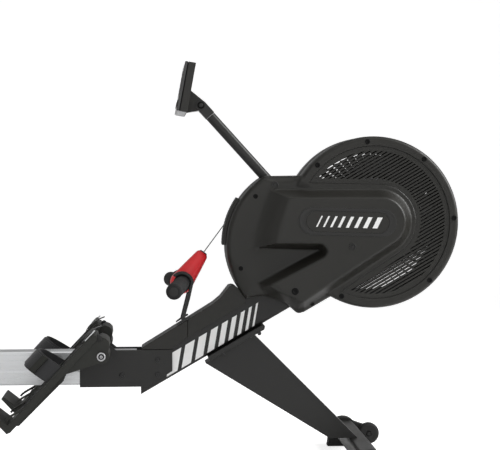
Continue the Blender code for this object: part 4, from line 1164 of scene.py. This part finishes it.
def makeStraps(sideName, side):
    turn = math.radians(pedal["slope"])
    wide = (-math.cos(turn), 0, -math.sin(turn))
    base = band(
        "foot_band_" + sideName, archPath(side, 2, 178, 0.0), wide, footStrap["width"], footStrap["thick"],
    )
    finishPiece(base, "webbing", "foot_" + sideName, "webbing", "foot_strap_" + sideName)
    tail = band("foot_band_tail_" + sideName, archPath(side, 38, 150, 0.0028), wide, 0.040, 0.0020)
    finishPiece(tail, "webbing", "foot_" + sideName, "webbing")
    # A moulded slider holds the tail on the outer side.
    slider = band("foot_buckle_" + sideName, archPath(side, 30, 44, 0.0042, 12), wide, 0.047, 0.0050, uv=False)
    finishPiece(slider, "pedalPlastic", "foot_" + sideName, "pedal_plastic")


toe = {
    "keepers": ((0.013, 0.0020, 0.013, 0.011), (0.030, 0.0010, 0.007, 0.009)),  # run, lift, half length, height
    "tapeSide": 0.112, "tapeWidth": 0.024, "tapeThick": 0.0016, "stripSide": 0.182, "stripLift": 0.0032,
    "knob": (0.001, -0.0165), "knobSide": 0.1800,
    "knobProfile": (
        (0.0040, -0.010), (0.0064, -0.0085), (0.0070, -0.004), (0.0070, 0.005), (0.0060, 0.0078),
        (0.0034, 0.0088), (0.0004, 0.0090),
    ),
}


# The toe end's fittings: two strap keepers, their tape's end, a bright edge strip (partly a real alloy strip,
# partly a painted highlight along the plate's edge) and a knob behind.
def makeToeEnd(sideName, side):
    body = "foot_" + sideName
    ends = sorted((side * (pedal["inner"] + 0.016), side * (pedal["outer"] - 0.004)))
    angle = np.linspace(0, 2 * math.pi, 28, endpoint=False)
    c, d = (np.sign(wave) * np.abs(wave) ** 0.6 for wave in (np.cos(angle), np.sin(angle)))
    for number, (run, lift, half, height) in enumerate(toe["keepers"]):
        outline = np.stack(pedalPoints(run + half * c, lift + height * 0.5 * d), 1)
        keeper = prismPiece(f"toe_keeper_{number}_{sideName}", outline, ends[0], ends[1], 0.0025, 3)
        finishPiece(keeper, "pedalPlastic", body, "pedal_plastic")
    share = np.linspace(0, 1, 26)
    x, z = pedalPoints(
        0.044 - 0.062 * share, 0.0020 + 0.0065 * np.sin(share**0.7 * math.pi) - 0.0060 * share**3,
    )
    path = np.stack([x, np.full(26, side * toe["tapeSide"]), z], 1)
    tape = band("toe_strap_" + sideName, path, (0, 1, 0), toe["tapeWidth"], toe["tapeThick"])
    finishPiece(tape, "webbing", body, "webbing")
    # The bright alloy strip on the outer edge: partly a real strip, partly a painted highlight along the
    # plate's edge.
    x, z = pedalPoints(np.linspace(-0.006, 0.026, 20), np.full(20, toe["stripLift"]))
    path = np.stack([x, np.full(20, side * toe["stripSide"]), z], 1)
    strip = sweepAlong("toe_strip_" + sideName, path, roundRect(0.0030, 0.0110, 0.0008, 3), up=(0, 1, 0))
    finishPiece(strip, "railAlloy", body, "rail_alloy")
    x, z = pedalPoints(*toe["knob"])
    centre = (float(x), side * toe["knobSide"], float(z))
    knob = disc("toe_knob_" + sideName, toe["knobProfile"], centre, (0, side, 0), 32, 40)
    finishPiece(knob, "rubber", body, "rubber")


ribs = {
    "across": (0.086, 0.129, 0.172), "half": 0.0016, "run": (0.112, 0.277, 0.271, 0.127),
    "lift": (-0.014, -0.014, -0.020, -0.024),
}


# Ribs under the plate, from its lug down to the heel.
def makeRibs(sideName, side):
    outline = np.stack(pedalPoints(ribs["run"], ribs["lift"]), 1)
    for number, y in enumerate(ribs["across"]):
        ends = sorted((side * (y - ribs["half"]), side * (y + ribs["half"])))
        rib = prismPiece(f"pedal_rib_{number}_{sideName}", outline, ends[0], ends[1], 0.0006)
        finishPiece(rib, "pedalPlastic", "foot_" + sideName, "pedal_plastic")


for sideName, side in sides:
    makeTread(sideName, side)
    makeEdges(sideName, side)
    makeStraps(sideName, side)
    makeToeEnd(sideName, side)
    makeRibs(sideName, side)
print("pedals ready")

# The console: (depth behind its face, rise up it) to (x, z).
console = {
    "corner": (0.429, 0.854), "lean": 10.35, "pivot": (0.490, 0.871), "pivotFace": 0.0168,
    # The strips of painted floor reflection under the housing and under the bracket: their outlines and half
    # widths.
    "reflectionStrip": ((0.0022, -0.0016), (0.0234, -0.0016), (0.0234, 0.0004), (0.0022, 0.0004)), "reflectionHalf": 0.098,
    "bracket": ((0.4570, 0.8535), (0.4870, 0.8577), (0.4870, 0.8607), (0.4570, 0.8565)), "bracketHalf": 0.0105,
    "ring": (
        (0.0052, -0.001), (0.0088, -0.001), (0.0088, 0.0024), (0.0080, 0.0032), (0.0060, 0.0032),
        (0.0052, 0.0024),
    ),
    "cap": ((0.0050, -0.001), (0.0050, 0.0034), (0.0042, 0.0040), (0.0003, 0.0040)),
}
display = {
    "rows": 6, "low": 0.052, "pitch": 0.0085, "thick": 0.0035, "face": 0.0014, "back": 0.0019,
    "left": -0.062, "longest": 0.058, "shorter": 0.007,
}


def consolePoints(points):
    turn = math.radians(console["lean"])
    points = np.asarray(points, float)
    x = console["corner"][0] + points[:, 0] * math.cos(turn) + points[:, 1] * math.sin(turn)
    z = console["corner"][1] - points[:, 0] * math.sin(turn) + points[:, 1] * math.cos(turn)
    return np.stack([x, z], 1)


def makeConsoleDetails():
    # A pale strip under the housing and under its bracket: a painted reflection of the bright floor on their
    # undersides.
    half = console["reflectionHalf"]
    reflectionStrip = prismPiece("console_floor_reflection", consolePoints(console["reflectionStrip"]), -half, half, 0.0005)
    finishPiece(reflectionStrip, "floorReflectionPale", "console", "zinc_steel")
    half = console["bracketHalf"]
    finishPiece(
        prismPiece("bracket_floor_reflection", console["bracket"], -half, half, 0.0004), "floorReflectionPale", "console",
        "zinc_steel",
    )
    # The pivot's rings and caps on both sides.
    for sideName, side in sides:
        centre = (console["pivot"][0], side * console["pivotFace"], console["pivot"][1])
        ring = lathe("console_ring_" + sideName, console["ring"], centre, (0, side, 0), 36)
        finishPiece(ring, "deepBlack", "root", "painted_frame")
        cap = disc("console_cap_" + sideName, console["cap"], centre, (0, side, 0), 30)
        finishPiece(cap, "framePaint", "root", "painted_frame")
    # Level bars on the display, longest at the bottom: each is a thin box lying on the glass.
    vertices, faces = [], []
    for row in range(display["rows"]):
        low = display["low"] + row * display["pitch"]
        left, right = display["left"], display["left"] + (display["longest"] - display["shorter"] * row)
        base = len(vertices)
        for depth in (display["face"], display["back"]):
            (ax, az), (bx, bz) = consolePoints([(depth, low), (depth, low + display["thick"])])
            vertices += [(ax, left, az), (ax, right, az), (bx, right, bz), (bx, left, bz)]
        faces += [[base, base + 1, base + 2, base + 3], [base + 7, base + 6, base + 5, base + 4]]
        faces += [[base + i, base + 4 + i, base + 4 + (i + 1) % 4, base + (i + 1) % 4] for i in range(4)]
    bars = newObject("display_bars", vertices, faces, smooth=30)
    outward(bars)
    finishPiece(bars, "greyPrint", "console", "display")


makeConsoleDetails()
print("console ready")

# The seat pad: a rounded block, hollowed for the sitter, blown up as cloth over its foam, and piped round.
seatPad = {
    "x": -0.45, "long": 0.246, "wide": 0.296, "corner": 0.060, "low": 0.3412, "high": 0.3800,
    "voxel": 0.005, "pressure": 4.0, "frames": 20, "cap": 0.006, "pipe": 0.0024, "pipeHeight": 0.3530,
    # Rows of the outline scaled about its middle: under the pad, up its side, and in over the top.
    "scales": (0.02, 0.3, 0.6, 0.88, 0.95, 0.985, 1.0, 0.995, 0.97, 0.93, 0.84, 0.70, 0.54, 0.38, 0.2, 0.02),
    "heights": (0, 0, 0, 0, 0.04, 0.18, 0.45, 0.70, 0.88, 0.96, 1.0, 1.0, 1.0, 1.0, 1.0, 1.0),
}


# The block: the scaled rows, less two hollows for the sitter and a dip at the front.
def seatBlock():
    outline = roundRect(seatPad["long"], seatPad["wide"], seatPad["corner"], 12)
    scale, share = np.array(seatPad["scales"]), np.array(seatPad["heights"])
    flat = scale[:, None, None] * outline[None]
    x, y = flat[:, :, 0], flat[:, :, 1]
    hollow = 0.010 * np.exp(-(((np.abs(y) - 0.062) / 0.050) ** 2) - ((x + 0.010) / 0.080) ** 2)
    lift = seatPad["low"] + (seatPad["high"] - seatPad["low"]) * share[:, None] - hollow * share[:, None] ** 3
    lift = lift - 0.006 * ease((x - 0.05) / 0.07) * share[:, None] ** 3
    return np.stack([seatPad["x"] + x, y, lift], -1)


def makeSeat():
    pad = gridMesh("seat_pad", seatBlock(), wrapColumns=True, caps=True, smooth=0)
    bpy.context.view_layer.objects.active = pad
    remesh = pad.modifiers.new("remesh", "REMESH")
    remesh.mode = "VOXEL"
    remesh.voxel_size = seatPad["voxel"]
    bpy.ops.object.modifier_apply(modifier="remesh")
    count = len(pad.data.vertices)
    before = np.empty(count * 3)
    pad.data.vertices.foreach_get("co", before)
    before = before.reshape(-1, 3)
    held = pad.vertex_groups.new(name="held")
    held.add(np.flatnonzero(before[:, 2] < seatPad["low"] + 0.004).tolist(), 1.0, "REPLACE")
    cloth = pad.modifiers.new("cloth", "CLOTH")
    cloth.settings.vertex_group_mass = "held"
    cloth.settings.use_pressure = True
    cloth.settings.uniform_pressure_force = seatPad["pressure"]
    cloth.settings.effector_weights.gravity = 0.0
    for step in range(1, seatPad["frames"] + 1):
        bpy.context.scene.frame_set(step)
    blown = pad.evaluated_get(bpy.context.evaluated_depsgraph_get()).to_mesh()
    after = np.empty(count * 3)
    blown.vertices.foreach_get("co", after)
    moved = after.reshape(-1, 3) - before
    far = np.linalg.norm(moved, axis=1)[:, None]
    moved *= np.minimum(1, seatPad["cap"] / np.maximum(far, 1e-9))
    pad.modifiers.remove(cloth)
    pad.data.vertices.foreach_set("co", (before + moved).ravel())
    bpy.context.scene.frame_set(1)
    print("seat cloth moved at most", round(float(far.max()) * 1000, 1), "mm before the cap")
    pad.data.shade_smooth()
    smoothing = pad.modifiers.new("smooth", "SUBSURF")
    smoothing.levels = smoothing.render_levels = 1
    finishPiece(pad, "seatVinyl", "seat", "seat_vinyl", "seat_cushion")
    # Piping: a cord of vinyl that follows the pad's widest outline.
    ring = roundRect(seatPad["long"] + 0.006, seatPad["wide"] + 0.006, seatPad["corner"] + 0.003, 16)
    path = np.stack([seatPad["x"] + ring[:, 0], ring[:, 1], np.full(len(ring), seatPad["pipeHeight"])], 1)
    ahead = np.roll(path, -1, 0) - np.roll(path, 1, 0)
    ahead /= np.linalg.norm(ahead, axis=1)[:, None]
    aside = np.cross(ahead, (0, 0, 1))
    spin = np.linspace(0, 2 * math.pi, 12, endpoint=False)
    around = np.cos(spin)[None, :, None] * aside[:, None] + np.sin(spin)[None, :, None] * np.array([0, 0, 1])
    grid = path[:, None] + seatPad["pipe"] * around
    piping = gridMesh("seat_piping", grid, wrapRows=True, wrapColumns=True, smooth=60)
    finishPiece(piping, "rubber", "seat", "seat_vinyl")


makeSeat()
print("seat ready")

# The frame's parts that keep their shape: a copy of each, its flat faces joined up and its edges rounded.
# Each has its finish and its edges' rounding, 0 where it keeps its own mesh; a last _ stands for both sides.
roundings = {
    "main_beam": ("framePaint", 0), "rail": ("railAlloy", 0), "rail_end_cap": ("casePlastic", 0.003),
    "rail_receiver": (
        "framePaint", 0.0012,
    ), "rear_leg": ("framePaint", 0.003), "rear_stabilizer": ("framePaint", 0),
    "rear_foot_": ("rubber", 0.004), "front_foot_": ("rubber", 0.004), "front_leg": ("framePaint", 0),
    "front_stabilizer": ("framePaint", 0), "leg_flange": (
        "framePaint", 0.0012,
    ), "transport_wheel_": ("rubber", 0.003),
    "side_plate_": ("framePaint", 0), "fan_axle": ("zincSteel", 0), "spool_axle": ("zincSteel", 0),
    "flywheel": ("flywheelIron", 0), "drive_pulley": ("casePlastic", 0), "fan_pulley": ("zincSteel", 0),
    "drive_belt": ("rubber", 0), "strap_spool": ("casePlastic", 0), "mast": ("framePaint", 0),
    "mast_fork": (
        "framePaint", 0.0012,
    ), "console_bolt": ("zincSteel", 0.0008), "mast_bolt": ("zincSteel", 0.001),
    "console_shell": ("casePlastic", 0.003), "console_bezel": ("glossPlastic", 0.0025),
    "console_screen": ("displayGlass", 0.0006), "button_": ("rubber", 0.0012), "handle_bar": ("zincSteel", 0),
    "hook_": (
        "framePaint", 0.0015,
    ), "shroud_front": ("casePlastic", 0.003), "shroud_rear": ("casePlastic", 0.003),
    "pedal_": (
        "pedalPlastic", 0.0025,
    ), "pedal_axle": ("zincSteel", 0.001), "seat_carriage": ("framePaint", 0.001),
    "seat_pan": (
        "casePlastic", 0.003,
    ), "seat_roller_front_": ("rubber", 0.002), "seat_roller_rear_": ("rubber", 0.002),
}


def softCopy(name, finish, width):
    node = nodes[name]
    mesh = node.data.copy()
    bm = bmesh.new()
    bm.from_mesh(mesh)
    bmesh.ops.remove_doubles(bm, verts=bm.verts, dist=2e-5)
    bmesh.ops.dissolve_limit(bm, angle_limit=math.radians(1.0), verts=bm.verts, edges=bm.edges)
    bm.to_mesh(mesh)
    bm.free()
    mesh.shade_smooth()
    mesh.set_sharp_from_angle(angle=math.radians(34))
    copy = bpy.data.objects.new("soft_" + name, mesh)
    bpy.context.scene.collection.objects.link(copy)
    roundEdges(copy, width, 3)
    finishPiece(copy, finish, node["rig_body"], slotOf[finish], name)


for key, (finish, width) in roundings.items():
    for name in [key + "left", key + "right"] if key.endswith("_") else [key]:
        if width:
            softCopy(name, finish, width)
        else:
            nodes[name].data.materials.clear()
            nodes[name].data.materials.append(mats[finish])
print("frame parts finished")
